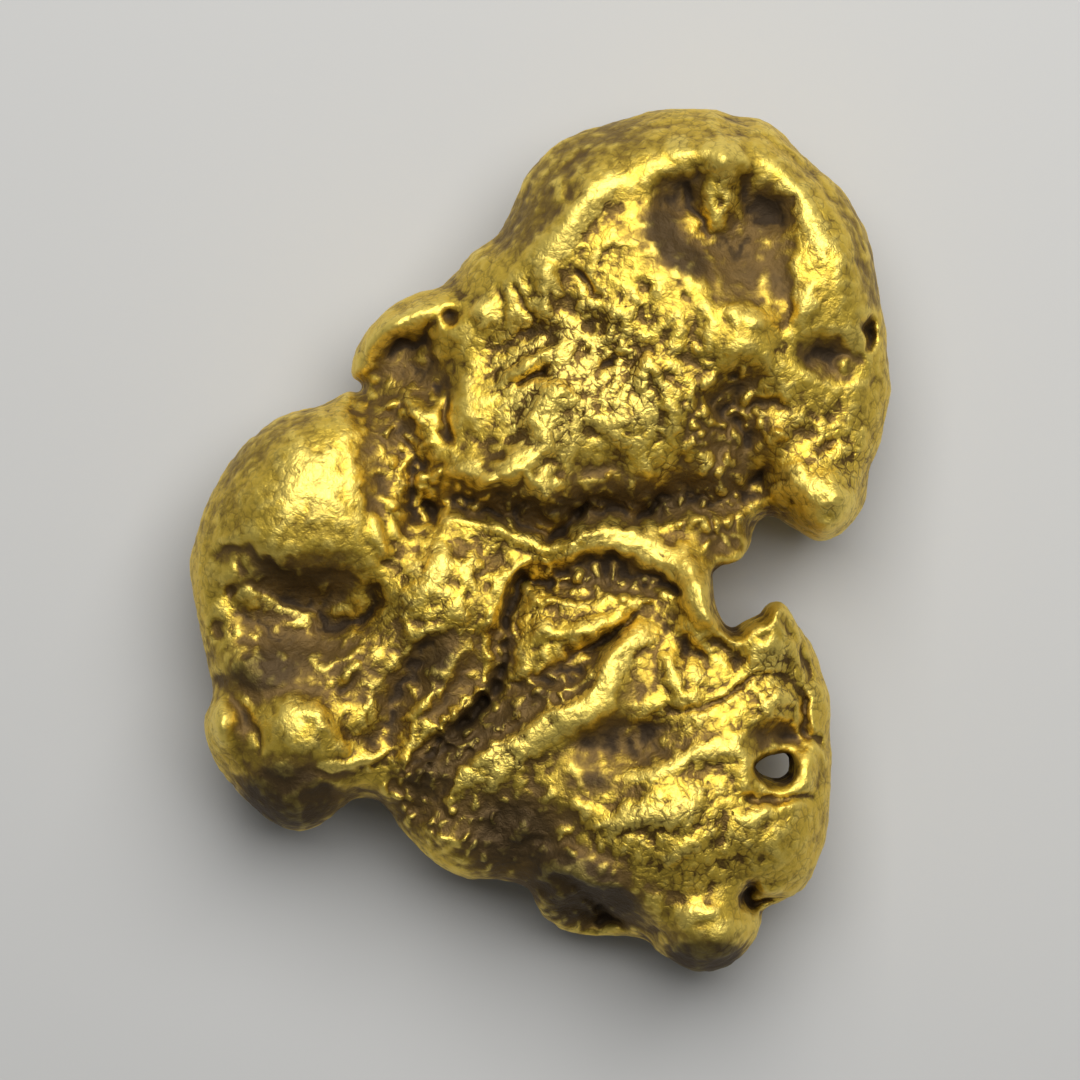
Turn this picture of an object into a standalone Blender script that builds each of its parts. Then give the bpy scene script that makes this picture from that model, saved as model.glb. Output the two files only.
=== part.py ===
"""A natural gold nugget, cast by nature in one piece.

The nugget lies flat on three worn spots at z = 0, with +Y towards the top of the larger lobe and +Z up.
It is modelled in millimetres, as a sheet cut to the nugget's outline whose upper and lower sides are
raised and hollowed by lumps and ridges, and it is brought to metres at the end.
"""

import bmesh
import bpy
import numpy as np
from mathutils import Vector, noise

MM = 0.001

# Driving dimensions, in millimetres.
SHEET_PITCH = 0.2
VOXEL = 0.2
RIM_HEIGHT = 3.2
RIM_ROUNDING = 1.9
BELLY_ROUNDING = 2.0
HOLE_ROUNDING = 0.9
CROWN = 2.7
BELLY_CLEARANCE = 0.7
LEDGE_FADE = 0.5
CRUMPLE = 0.09
TRIANGLES = 9400

# The outline seen from above, clockwise from the notch on the upper left.
OUTLINE = [
    (-5.95, 5.25), (-5.6, 6.3), (-4.9, 7.15), (-4.0, 7.7), (-3.0, 8.05), (-2.2, 8.95), (-1.4, 9.55),
    (-0.95, 10.3), (-0.5, 11.35), (0.1, 12.1), (1.1, 12.7), (2.4, 13.1), (3.8, 13.45), (5.3, 13.47),
    (6.1, 13.22), (6.9, 13.15), (7.6, 12.65), (8.5, 11.8), (9.3, 11.1), (9.8, 10.35), (10.2, 9.5),
    (10.45, 8.2), (10.7, 7.0), (10.8, 5.9), (10.92, 4.6), (10.7, 3.2), (10.3, 2.2), (10.1, 1.2), (9.6, 0.4),
    (8.8, -0.05), (8.0, 0.3), (7.2, 0.75), (6.65, 0.45), (6.5, -0.2), (6.2, -0.65), (5.5, -0.85),
    (5.3, -1.15), (5.4, -1.9), (5.6, -2.4), (6.0, -2.75), (6.3, -2.5), (6.8, -2.3), (7.0, -2.0),
    (7.3, -1.82), (7.7, -2.05), (8.0, -2.6), (8.55, -3.3), (8.75, -4.15), (9.02, -5.0), (9.05, -6.4),
    (9.05, -8.2), (8.85, -9.5), (8.4, -10.6), (7.7, -11.2), (6.95, -11.55), (6.87, -12.0), (6.5, -12.75),
    (5.8, -13.3), (4.9, -13.5), (4.2, -13.2), (3.6, -12.8), (3.15, -12.42), (1.6, -12.4), (0.6, -12.15),
    (-0.05, -11.6), (-0.3, -11.0), (-0.6, -10.75), (-1.4, -10.6), (-2.4, -10.55), (-3.2, -10.15),
    (-4.2, -9.25), (-4.7, -8.55), (-5.2, -8.12), (-5.9, -8.17), (-6.6, -8.7), (-7.4, -9.05), (-8.3, -8.8),
    (-9.2, -8.1), (-10.0, -7.15), (-10.4, -6.3), (-10.48, -5.6), (-10.33, -5.05), (-10.25, -4.6),
    (-10.5, -3.6), (-10.75, -2.3), (-10.95, -0.9), (-10.75, 0.3), (-10.3, 1.5), (-9.6, 2.6), (-8.8, 3.4),
    (-8.0, 3.92), (-7.3, 4.1), (-6.6, 4.4), (-6.1, 4.7), (-5.72, 4.66), (-5.62, 4.88),
]
# The worn spots that it rests on: place, half length, half width and turn in degrees.
FEET = [(5.4, 8.2, 4.4, 3.4, 30), (-7.2, -2.4, 2.8, 4.2, 10), (4.4, -8.0, 3.6, 3.2, -20)]
FOOT_DEPTH = 1.25
HOLE = [(6.68, -6.98), (7.1, -6.72), (7.66, -6.66), (7.72, -7.15), (7.5, -7.4), (7.05, -7.33)]


def smooth_curve(points, closed=False, steps=6):
    """Points along a smooth curve through the given ones."""
    knots = np.array(points, float)
    if closed:
        knots = np.concatenate([knots[-1:], knots, knots[:2]])
    else:
        knots = np.concatenate([2 * knots[:1] - knots[1:2], knots, 2 * knots[-1:] - knots[-2:-1]])
    t = np.linspace(0, 1, steps, endpoint=False)[:, None]
    curve = []
    for a, b, c, d in zip(knots, knots[1:], knots[2:], knots[3:]):
        cubic = 3 * b - a - 3 * c + d
        square = 2 * a - 5 * b + 4 * c - d
        curve.append(0.5 * (2 * b + (c - a) * t + square * t**2 + cubic * t**3))
    if not closed:
        curve.append(knots[-2:-1])
    return np.concatenate(curve)


def measure(points, curve, closed=False):
    """Each point's distance to the curve, positive on its left, its nearest place, and that place's share."""
    starts = curve if closed else curve[:-1]
    ends = np.roll(curve, -1, axis=0) if closed else curve[1:]
    lengths = np.linalg.norm(ends - starts, axis=1)
    travelled = np.concatenate([[0], np.cumsum(lengths)])
    nearest = np.full(len(points), np.inf)
    side = np.ones(len(points))
    place = np.zeros((len(points), 2))
    share = np.zeros(len(points))
    for start, end, length, before in zip(starts, ends, lengths, travelled):
        run = (end - start) / length
        offset = points - start
        along = np.clip(offset @ run, 0, length)
        foot = start + along[:, None] * run
        distance = np.linalg.norm(points - foot, axis=1)
        closer = distance < nearest
        nearest[closer] = distance[closer]
        side[closer] = np.where(run[0] * offset[closer, 1] < run[1] * offset[closer, 0], -1, 1)
        place[closer] = foot[closer]
        share[closer] = (before + along[closer]) / travelled[-1]
    return nearest * side, place, share


def bell(reach):
    """A height of 1 that falls smoothly to 0 at a reach of 1."""
    return np.clip(1 - reach**2, 0, 1)**2


def rounded(share):
    """The height of a quarter circle, from 0 at the edge to 1."""
    return np.sqrt(1 - (1 - np.clip(share, 0, 1))**2)


class Relief:
    """A height over every point of the plan, raised and hollowed by lumps and ridges."""

    def __init__(self, points, level):
        self.points = points
        self.height = np.full(len(points), float(level))

    def lump(self, x, y, half_length, half_width, rise, turn=0):
        """A round lump, or with a negative rise a hollow, turned anticlockwise by degrees."""
        angle = np.radians(turn)
        east, north = self.points[:, 0] - x, self.points[:, 1] - y
        along = east * np.cos(angle) + north * np.sin(angle)
        across = north * np.cos(angle) - east * np.sin(angle)
        self.height += rise * bell(np.hypot(along / half_length, across / half_width))

    def ridge(self, route, rise, left, right=None, taper=0.35, start=0, end=0):
        """A ridge, or with a negative rise a crease, with its own widths left and right of its run."""
        right = right or left
        curve = smooth_curve(route)
        reach = max(left, right)
        near = np.all((self.points > curve.min(0) - reach) & (self.points < curve.max(0) + reach), axis=1)
        distance, _, share = measure(self.points[near], curve)
        first = np.sin(np.pi / 2 * np.clip(share / taper, 0, 1))
        last = np.sin(np.pi / 2 * np.clip((1 - share) / taper, 0, 1))
        strength = (start + (1 - start) * first) * (end + (1 - end) * last)
        self.height[near] += rise * strength * bell(distance / np.where(distance > 0, left, right))


def wavering(points, coarse, fine):
    """The points shifted by a little noise, so that no lump or ridge is geometrically clean."""
    shifted = []
    for x, y in points:
        slow = noise.noise_vector(Vector((0.7 * x, 0.7 * y, 3.0)))
        quick = noise.noise_vector(Vector((2.4 * x, 2.4 * y, 8.0)))
        shifted.append((x + coarse * slow.x + fine * quick.x, y + coarse * slow.y + fine * quick.y))
    return np.array(shifted)


def rim_heights(points):
    """Where the upper and lower sides meet."""
    rim = Relief(points, RIM_HEIGHT)
    rim.lump(4.5, 8, 9, 8, 0.4)
    rim.lump(1.7, -12.3, 3.0, 1.8, -0.8)
    rim.lump(8.6, -5.5, 2.5, 4.0, 0.4)
    rim.lump(-5.6, 5.5, 2.0, 1.6, -0.4)
    rim.lump(6.4, -1.4, 3.2, 2.6, 1.5)
    rim.lump(-10.5, -5.6, 1.4, 1.6, 0.5)
    return rim.height


def rim_roundings(points):
    """How far in from the edge the sides go on rounding over: less on the thin parts."""
    rounding = Relief(points, RIM_ROUNDING)
    rounding.lump(2, 9, 6, 6, 0.4)
    rounding.lump(10.3, 8.0, 2.4, 4.2, -0.85)
    rounding.lump(-8.5, 0.0, 4, 4, 0.7)
    rounding.lump(-7.2, 3.6, 2.8, 2.0, -0.5)
    rounding.lump(7.6, -5.2, 2.6, 4.0, -1.4)
    rounding.lump(5.5, -12.6, 2.2, 2.0, -0.6)
    rounding.lump(1.6, -11.8, 2.6, 1.6, -1.0)
    rounding.lump(-4.9, 6.2, 2.2, 1.6, -1.0)
    rounding.lump(-9.9, -5.6, 1.0, 1.4, -0.7)
    rounding.lump(8.8, 0.7, 2.2, 1.8, -1.3)
    rounding.lump(5.7, -1.3, 2.4, 2.4, -1.5)
    rounding.lump(7.2, -2.4, 2.0, 1.8, -1.2)
    rounding.lump(6.2, -2.3, 2.6, 1.9, -1.2)
    return np.clip(rounding.height, 0.45, None)


def upper_lobe(top):
    """The large lobe: a smooth flank, a brow curling round a socket, and the ground below them."""
    top.lump(4.0, 7.9, 8.5, 7.6, 1.3)
    brow = [(-3.0, 6.9), (-1.5, 7.7), (-0.4, 8.5), (0.3, 9.4), (1.2, 10.5), (2.2, 11.5), (3.7, 12.1),
            (5.6, 12.3), (7.0, 11.9), (7.9, 11.2), (8.5, 10.3), (8.9, 9.3), (9.0, 8.2), (8.6, 7.0)]
    top.ridge(brow, 0.4, 1.4, 1.5, taper=0.2)
    top.ridge(brow[2:6], 0.25, 0.4, 1.0)
    top.ridge([(2.9, 10.9), (3.7, 11.5), (4.7, 11.8), (5.7, 11.8), (6.7, 11.5), (7.5, 10.9), (8.1, 10.1),
               (8.4, 9.2)], 0.12, 0.9, 1.0, start=0.3, end=0.3)
    top.lump(5.7, 9.8, 3.0, 2.2, -0.95)
    top.lump(6.3, 8.3, 2.0, 1.6, -0.45)
    top.lump(6.3, 6.1, 1.7, 1.6, 0.5)
    top.lump(0.0, 2.7, 4.4, 3.8, 1.05, turn=8)
    top.lump(3.6, 3.4, 2.2, 3.0, 0.35, turn=-10)
    top.lump(-0.6, 6.2, 1.4, 0.8, -0.2)
    top.lump(2.6, 5.6, 1.2, 0.9, -0.12)
    top.lump(9.0, 7.8, 1.6, 2.2, 0.25)
    top.lump(8.8, 1.2, 2.2, 2.2, 0.6)
    top.ridge([(6.9, 2.3), (7.6, 1.8), (8.4, 1.4), (9.2, 1.2),
               (9.9, 1.7)], 0.3, 1.0, 0.5, start=0.3, end=0.3)
    top.lump(2.2, 1.9, 1.7, 1.2, -0.25, turn=-15)
    top.lump(9.2, 4.2, 1.6, 1.4, -0.25)
    top.lump(6.1, 3.9, 1.5, 1.9, -0.8, turn=-10)
    top.lump(6.7, 2.1, 1.2, 1.3, -0.75)
    top.lump(4.6, 2.0, 1.6, 1.0, -0.25)
    top.lump(5.9, -0.2, 1.5, 1.2, -1.3)


def socket(ledges):
    """The socket, the tongue hanging into it, and the hollows of the flank."""
    ledges.lump(7.1, 10.1, 1.0, 0.9, -0.35)
    ledges.lump(4.3, 10.5, 1.0, 0.9, -0.25)
    ledges.ridge([(5.6, 12.6), (5.6, 11.8), (5.55, 11.0), (5.45, 10.2),
                  (5.3, 9.4)], 0.62, 0.95, taper=0.4, start=0.4)
    ledges.lump(5.6, 11.3, 0.7, 1.1, 0.2)
    ledges.ridge([(4.95, 11.9), (5.05, 11.0), (5.2, 10.1), (5.3, 9.3)], 0.14, 0.4, 0.3)
    ledges.ridge([(6.35, 11.9), (6.1, 11.0), (5.75, 10.3), (5.4, 9.5)], 0.14, 0.3, 0.4)
    ledges.lump(4.8, 11.95, 0.6, 0.5, 0.16)
    ledges.ridge([(7.75, 9.4), (7.65, 8.3), (7.75, 7.2), (7.6, 6.2),
                  (7.5, 5.3)], -0.12, 0.25, 0.8, start=0.5)
    ledges.lump(4.25, 12.1, 0.55, 0.5, 0.12)
    ledges.lump(8.1, 7.3, 0.4, 0.7, 0.2, turn=-10)
    ledges.lump(6.0, 6.9, 0.4, 0.5, 0.15)
    ledges.lump(6.7, 6.75, 0.55, 0.5, 0.18)
    ledges.ridge([(0.45, 11.3), (0.7, 10.6), (0.7, 9.9)], 0.1, 0.4)
    ledges.ridge([(0.6, 11.3), (1.1, 11.75), (1.7, 12.0)], -0.16, 0.22, 0.5)
    ledges.lump(1.0, 10.8, 0.5, 0.9, -0.15, turn=-25)
    rim_seam = [(6.3, 13.3), (6.8, 12.5), (7.3, 12.0), (8.2, 11.4), (9.2, 10.3), (9.75, 9.2), (9.95, 8.0)]
    ledges.ridge(rim_seam, -0.22, 0.3, 0.22, taper=0.25)
    ledges.ridge([(x + 0.3, y + 0.3) for x, y in rim_seam[1:]], 0.12, 0.3)


def right_flank(ledges):
    """The pits and the lipped knob on the upper lobe's right."""
    ledges.lump(8.9, 5.65, 1.5, 1.0, -0.65, turn=-15)
    ledges.lump(9.3, 5.4, 0.5, 0.4, 0.35)
    ledges.lump(10.15, 6.4, 0.32, 0.7, -1.1)
    ledges.ridge([(9.9, 3.6), (9.95, 2.6), (9.6, 1.6)], 0.2, 0.45)
    ledges.lump(8.2, 3.4, 0.5, 0.4, -0.18)
    ledges.lump(8.85, 3.0, 0.45, 0.35, -0.14)
    ledges.lump(6.4, 3.3, 0.55, 0.6, -0.28)
    ledges.lump(6.75, 1.85, 0.5, 0.45, -0.4)
    ledges.ridge([(6.4, 4.1), (7.0, 4.15), (7.7, 3.9)], -0.25, 0.35)
    ledges.lump(5.75, 3.75, 0.4, 0.4, -0.2)
    ledges.ridge([(4.6, 4.6), (4.85, 3.9), (4.9, 3.3)], -0.2, 0.25)
    ledges.lump(5.2, 4.3, 0.6, 0.5, -0.2)
    ledges.lump(5.6, 2.9, 0.6, 0.6, -0.25)
    ledges.lump(7.3, 3.2, 0.5, 0.4, 0.15)


def plateau(ledges):
    """The folds, cracks and ledges of the broken plateau."""
    ledges.ridge([(-1.8, 7.7), (-1.75, 6.6)], 0.22, 0.35)
    ledges.ridge([(0.35, 8.6), (0.15, 7.6), (-0.1, 6.6)], 0.31, 0.5, 0.4)
    ledges.ridge([(0.6, 7.6), (1.1, 6.9), (1.9, 6.3)], -0.18, 0.5, 0.4)
    ledges.lump(2.4, 7.0, 0.7, 0.55, 0.2)
    ledges.ridge([(3.0, 8.2), (3.3, 7.3), (3.0, 6.5)], -0.14, 0.35)
    ledges.ridge([(3.8, 7.2), (4.2, 6.3), (4.0, 5.5)], 0.19, 0.4)
    ledges.ridge([(4.9, 7.4), (5.2, 6.5), (5.0, 5.6)], 0.19, 0.45)
    ledges.ridge([(1.0, 5.9), (0.1, 5.6), (-0.6, 5.25), (-1.5, 5.0)], 0.38, 0.45, 0.35)
    ledges.ridge([(-1.0, 4.75), (-0.3, 4.95), (0.2, 5.1), (0.7, 5.0)], -0.38, 0.25)
    ledges.ridge([(3.15, 5.7), (3.0, 5.0), (2.85, 4.4)], 0.25, 0.35)
    ledges.ridge([(1.4, 4.4), (0.6, 4.3), (0.1, 3.6), (0.1, 2.9), (-0.6, 2.3),
                  (-1.8, 2.2)], 0.38, 0.6, 0.9, taper=0.2)
    ledges.ridge([(0.9, 4.4), (1.5, 3.6), (2.2, 2.9), (2.6, 2.2)], -0.1, 0.3, 0.5)
    ledges.ridge([(3.2, 5.7), (3.5, 4.8), (3.9, 3.8), (4.1, 2.9)], 0.26, 0.6, 0.4)
    ledges.ridge([(4.0, 5.6), (4.4, 4.8), (4.3, 4.0)], 0.14, 0.4)
    ledges.ridge([(4.4, 3.2), (4.9, 2.6), (5.4, 2.3)], 0.15, 0.45)
    ledges.lump(-2.2, 4.1, 1.0, 1.1, 0.15)
    ledges.ridge([(-2.95, 4.7), (-3.0, 3.8), (-2.9, 2.8)], -0.38, 0.25, 0.3)
    ledges.ridge([(-3.2, 2.3), (-2.4, 2.1), (-1.5, 1.9), (-0.6, 1.9), (0.2, 1.55),
                  (0.9, 1.2)], 0.56, 1.0, 0.4)
    ledges.ridge([(1.2, 1.4), (1.9, 1.6), (2.6, 1.4), (3.2, 1.8)], 0.25, 0.6, 0.35)
    ledges.lump(-0.6, 1.0, 1.1, 0.6, -0.25, turn=-15)


def flap(top, ledges):
    """The low flap on the upper lobe's left, hollow behind a curled lip."""
    top.lump(-4.2, 5.4, 2.1, 1.8, -1.25)
    top.ridge([(-5.9, 5.0), (-5.5, 5.85), (-4.7, 6.6), (-3.5, 7.25),
               (-2.6, 7.6)], 0.55, 1.0, 0.7, taper=0.15)
    ledges.ridge([(-4.9, 5.7), (-4.3, 6.05), (-3.6, 6.3), (-3.2, 6.7)], -0.4, 0.35, 0.5)
    ledges.lump(-3.4, 5.8, 0.35, 0.4, -0.2)
    ledges.lump(-2.8, 6.85, 0.4, 0.4, -0.3)
    ledges.lump(-5.2, 5.0, 0.4, 0.35, 0.2)
    ledges.ridge([(-4.6, 4.6), (-3.9, 4.3), (-3.5, 3.7)], 0.18, 0.45)


def left_mass(top, ledges):
    """The dome, the slope and plate below it, the bead in its edge, and the knob over the lower left lobe."""
    top.lump(-7.3, 1.2, 4.0, 3.8, 1.2)
    top.ridge([(-5.6, 3.9), (-5.2, 2.8), (-5.0, 1.6), (-5.0, 0.4)], -0.4, 0.7, 0.7, start=0.4)
    top.lump(-7.6, -2.3, 3.8, 2.1, -1.2)
    top.lump(-6.7, -1.3, 2.0, 1.5, -0.35)
    top.lump(-8.9, -3.5, 1.9, 1.3, 0.15)
    top.lump(-7.2, -5.9, 2.1, 1.5, 0.9)
    top.lump(-7.8, -7.6, 1.9, 1.3, 0.2)
    valley = [(-6.2, 4.6), (-4.9, 3.9), (-4.2, 2.9), (-3.9, 1.6), (-3.7, 0.8)]
    top.ridge(valley, -0.6, 1.0, 0.9, start=0.6, end=0.6)
    top.ridge([(-4.9, -6.9), (-4.6, -5.8), (-4.1, -4.7), (-3.3, -3.8)], -0.45, 0.9, 0.8, start=0.4, end=0.1)
    ledges.ridge([(-10.3, -0.6), (-9.5, -0.2), (-8.6, -0.5), (-7.6, -1.2)], -0.28, 0.4, 0.7)
    ledges.lump(-6.75, -1.3, 0.45, 0.4, 0.18)
    ledges.ridge([(-5.3, -0.9), (-5.2, -1.9), (-5.8, -2.45), (-6.6, -2.65), (-7.4, -2.5)], -0.35, 0.4, 0.5)
    ledges.ridge([(-9.4, -1.4), (-8.5, -1.85), (-7.8, -2.3), (-6.8, -2.6)], 0.35, 0.3, 0.9, taper=0.25)
    ledges.ridge([(-10.0, -4.1), (-10.0, -4.8)], -0.3, 0.25)
    ledges.lump(-9.9, -5.65, 0.5, 0.95, 0.35)
    ledges.ridge([(-8.2, -5.2), (-7.4, -5.1), (-6.75, -5.4), (-6.6, -6.0)], 0.22, 0.5, 0.6)
    ledges.lump(-7.9, -7.4, 0.7, 0.5, -0.12)
    curl = [(-7.4, -6.4), (-6.9, -6.9), (-6.0, -6.95), (-5.4, -6.8), (-4.9, -6.5), (-4.7, -6.1)]
    ledges.ridge(curl[1:], 0.26, 0.34, 0.24, taper=0.3)
    ledges.lump(-5.6, -6.0, 0.8, 0.55, -0.25)
    ledges.ridge([(-7.4, -7.6), (-6.5, -7.35), (-5.8, -7.6)], 0.15, 0.4)
    ledges.ridge([(-6.2, -4.6), (-5.4, -4.35)], -0.22, 0.25)
    ledges.lump(-5.7, -4.1, 0.5, 0.25, 0.15, turn=15)
    ledges.ridge([(-7.4, -3.4), (-6.6, -3.7), (-5.8, -3.3)], 0.15, 0.45)


def centre(top, ledges):
    """The cheek left of the long crack, and the tongue inside the curled strip right of it."""
    top.lump(-3.0, -1.7, 2.6, 2.2, 0.6, turn=20)
    top.lump(-2.3, -4.6, 1.6, 1.6, -0.25, turn=-35)
    top.lump(1.3, -2.9, 2.6, 1.2, 0.3, turn=8)
    ledges.ridge([(-5.0, 0.9), (-4.9, 0.2), (-4.65, -0.5)], 0.22, 0.4)
    ledges.lump(-4.3, 0.4, 0.4, 0.4, 0.16)
    ledges.lump(-4.2, 1.9, 0.45, 0.45, 0.18)
    ledges.lump(-4.15, 2.9, 0.5, 0.5, 0.18)
    ledges.ridge([(-3.2, -0.1), (-3.0, -0.9), (-3.5, -1.5), (-4.2, -1.9)], 0.2, 0.5)
    ledges.ridge([(-1.9, -0.4), (-2.2, -0.9), (-2.6, -1.4)], 0.12, 0.4)
    ledges.ridge([(-0.3, -0.5), (-0.9, -1.4), (-1.1, -2.2), (-1.2, -2.9)], 0.3, 0.3, 0.9, taper=0.2)
    ledges.ridge([(-4.3, -2.9), (-3.5, -2.9), (-2.8, -2.6)], 0.18, 0.4)
    ledges.ridge([(-4.3, -5.7), (-3.6, -4.8), (-2.8, -3.9), (-2.0, -3.1)], 0.4, 0.7, 0.5)
    ledges.ridge([(-5.0, -5.2), (-4.3, -4.3), (-3.6, -3.5), (-2.8, -2.9)], -0.3, 0.45)
    ledges.ridge([(-6.4, -5.0), (-5.5, -5.2), (-4.9, -5.0)], 0.15, 0.4)
    ledges.ridge([(-3.4, -6.0), (-2.5, -5.3), (-1.7, -4.85)], 0.22, 0.5, 0.3)
    ledges.ridge([(-4.6, -7.5), (-4.0, -7.1), (-3.2, -6.7)], 0.18, 0.3)
    strip_inside = [(0.6, -0.3), (1.5, -0.3), (2.4, -0.35), (3.1, -0.5), (3.8, -0.85), (4.35, -1.5),
                    (4.65, -2.2), (5.0, -2.8)]
    ledges.ridge(strip_inside, 0.44, 1.2, 0.28, taper=0.1, start=0.3)
    strip_outside = [(0.9, 0.3), (2.0, 0.3), (3.0, 0.1), (4.05, -0.3), (4.7, -1.1), (5.0, -2.0),
                     (5.5, -2.7)]
    ledges.ridge(strip_outside, 0.22, 0.35, 0.8, taper=0.1, start=0.3)
    ledges.ridge([(-0.9, -2.0), (0.1, -1.75), (1.1, -2.0), (2.2, -1.75),
                  (3.4, -1.9)], 0.18, 0.3, 0.5, taper=0.2)
    ledges.ridge([(-0.3, -2.9), (0.9, -2.85), (2.0, -2.75), (2.8, -2.1)], 0.22, 0.45, 0.35, taper=0.2)
    ledges.ridge([(4.2, -2.3), (4.8, -3.1), (5.3, -3.7), (5.8, -4.1)], 0.28, 0.5, 0.4)
    ledges.ridge([(5.0, -2.7), (5.5, -3.0), (5.95, -3.4)], 0.18, 0.35)
    ledges.ridge([(3.7, -3.4), (4.0, -4.1), (4.4, -4.7), (5.1, -4.9)], 0.28, 0.4)
    ledges.lump(4.5, -3.5, 0.4, 0.6, -0.16, turn=30)


def lower_body(top, ledges):
    """The lower body: a long crest, a hollow, and a second mound over the bottom bead."""
    top.lump(3.8, -6.6, 6.5, 6.0, 1.15)
    crest = [(3.5, -2.5), (2.9, -3.2), (2.35, -3.9), (1.9, -4.7), (1.1, -5.35), (0.1, -5.85), (-1.0, -6.6),
             (-1.9, -7.4), (-2.6, -8.4)]
    ledges.ridge([(x + 0.5, y - 0.55) for x, y in crest[1:-1]], -0.1, 0.6, taper=0.25)
    top.ridge([(x - 0.25, y + 0.23) for x, y in crest], 0.5, 1.5, 0.42, taper=0.2)
    top.lump(-0.7, -9.2, 2.4, 1.7, -0.5)
    top.lump(2.9, -6.2, 2.5, 1.3, -0.75, turn=12)
    top.lump(1.9, -7.6, 1.4, 0.8, -0.1, turn=15)
    top.lump(4.3, -9.0, 3.2, 2.1, 0.4, turn=14)
    top.lump(7.3, -6.2, 1.3, 0.8, -0.8)
    top.lump(7.6, -9.2, 1.9, 1.6, 0.4)
    top.lump(8.4, -5.3, 2.1, 3.4, -1.3)
    top.lump(5.3, -12.0, 1.9, 1.6, 0.4)
    top.lump(1.6, -12.0, 2.4, 1.6, -2.4)
    top.lump(-3.7, -8.2, 1.5, 1.5, -0.7)
    ledges.ridge([(2.5, -7.4), (3.5, -7.0), (4.6, -6.6), (5.6, -6.2), (6.1, -6.4)], 0.18, 0.4, 0.6)
    ledges.ridge([(1.4, -9.0), (2.5, -8.65), (3.4, -8.3), (4.4, -8.2), (5.2, -7.9)], 0.26, 0.8, 0.6)
    ledges.lump(3.4, -7.85, 0.5, 0.4, 0.15)
    ledges.ridge([(2.0, -9.55), (2.9, -9.2), (3.5, -9.3)], 0.15, 0.35)
    ledges.ridge([(3.6, -9.75), (4.4, -9.4), (4.7, -8.9)], 0.16, 0.4)
    ledges.ridge([(6.0, -8.85), (6.6, -8.4), (7.2, -8.15)], 0.2, 0.45)
    ledges.ridge([(0.8, -7.8), (1.2, -8.1), (1.5, -8.5)], 0.2, 0.35)
    ledges.lump(0.0, -9.6, 0.9, 0.7, -0.15)
    ledges.lump(-1.6, -9.5, 0.8, 0.6, 0.12)


def ear(ledges):
    """The ear, the knuckle and the hole's frame."""
    ledges.lump(7.0, -3.5, 1.0, 0.9, 0.3)
    ledges.lump(7.2, -5.0, 0.9, 0.8, 0.45)
    ledges.ridge([(7.95, -4.4), (8.0, -5.2), (8.15, -5.9), (8.5, -6.25)], -0.4, 0.25)
    ledges.lump(8.5, -6.2, 0.4, 0.3, -0.25)
    ledges.ridge([(5.9, -6.0), (6.2, -6.6), (6.35, -7.2), (6.3, -7.7)], 0.2, 0.45, 0.7, taper=0.2)
    ledges.ridge([(8.1, -6.5), (8.15, -7.2), (8.1, -7.9)], 0.2, 0.5, 0.3)
    ledges.ridge([(6.5, -7.85), (7.3, -7.9), (8.2, -7.85), (8.7, -7.8)], -0.2, 0.15, 0.3)
    ledges.ridge([(6.6, -8.15), (7.4, -8.2), (8.4, -8.1)], 0.12, 0.35)


def bead_and_lip(ledges):
    """The bottom bead, and the lip over the lower plate."""
    ledges.ridge([(4.1, -11.5), (4.8, -11.35), (5.5, -11.45)], 0.2, 0.4, 0.5)
    ledges.ridge([(6.4, -10.8), (6.55, -11.15), (6.9, -11.4),
                  (7.5, -11.25)], -1.3, 0.42, 0.4, taper=0.15, start=0.5, end=1)
    ledges.ridge([(6.6, -10.9), (7.1, -10.95), (7.7, -10.7)], 0.2, 0.35, 0.25)
    lip = [(-0.1, -10.45), (0.8, -10.15), (1.3, -10.35), (1.8, -10.75), (1.95, -11.15), (2.4, -11.5),
           (3.1, -11.55), (3.6, -11.8), (3.95, -12.3)]
    ledges.ridge(lip, 0.35, 1.1, 0.22, taper=0.15, start=0.3, end=0.5)
    ledges.lump(3.6, -12.3, 0.3, 0.45, 0.3)
    ledges.lump(2.3, -11.95, 1.0, 0.35, -0.5, turn=-8)
    ledges.ridge([(0.3, -10.75), (0.95, -10.7), (1.4, -11.05), (1.7, -11.45), (2.3, -11.85)], -0.35, 0.28)
    ledges.lump(0.7, -11.2, 0.5, 0.35, 0.2)
    ledges.lump(0.2, -10.9, 0.3, 0.4, -0.25)
    ledges.lump(6.8, -9.8, 0.45, 0.4, -0.14)
    ledges.ridge([(-2.5, -7.0), (-2.75, -7.8), (-2.9, -8.6)], 0.2, 0.3)
    ledges.lump(-2.8, -9.3, 0.5, 0.45, 0.2)
    ledges.lump(-3.4, -8.9, 0.4, 0.35, 0.16)


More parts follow.
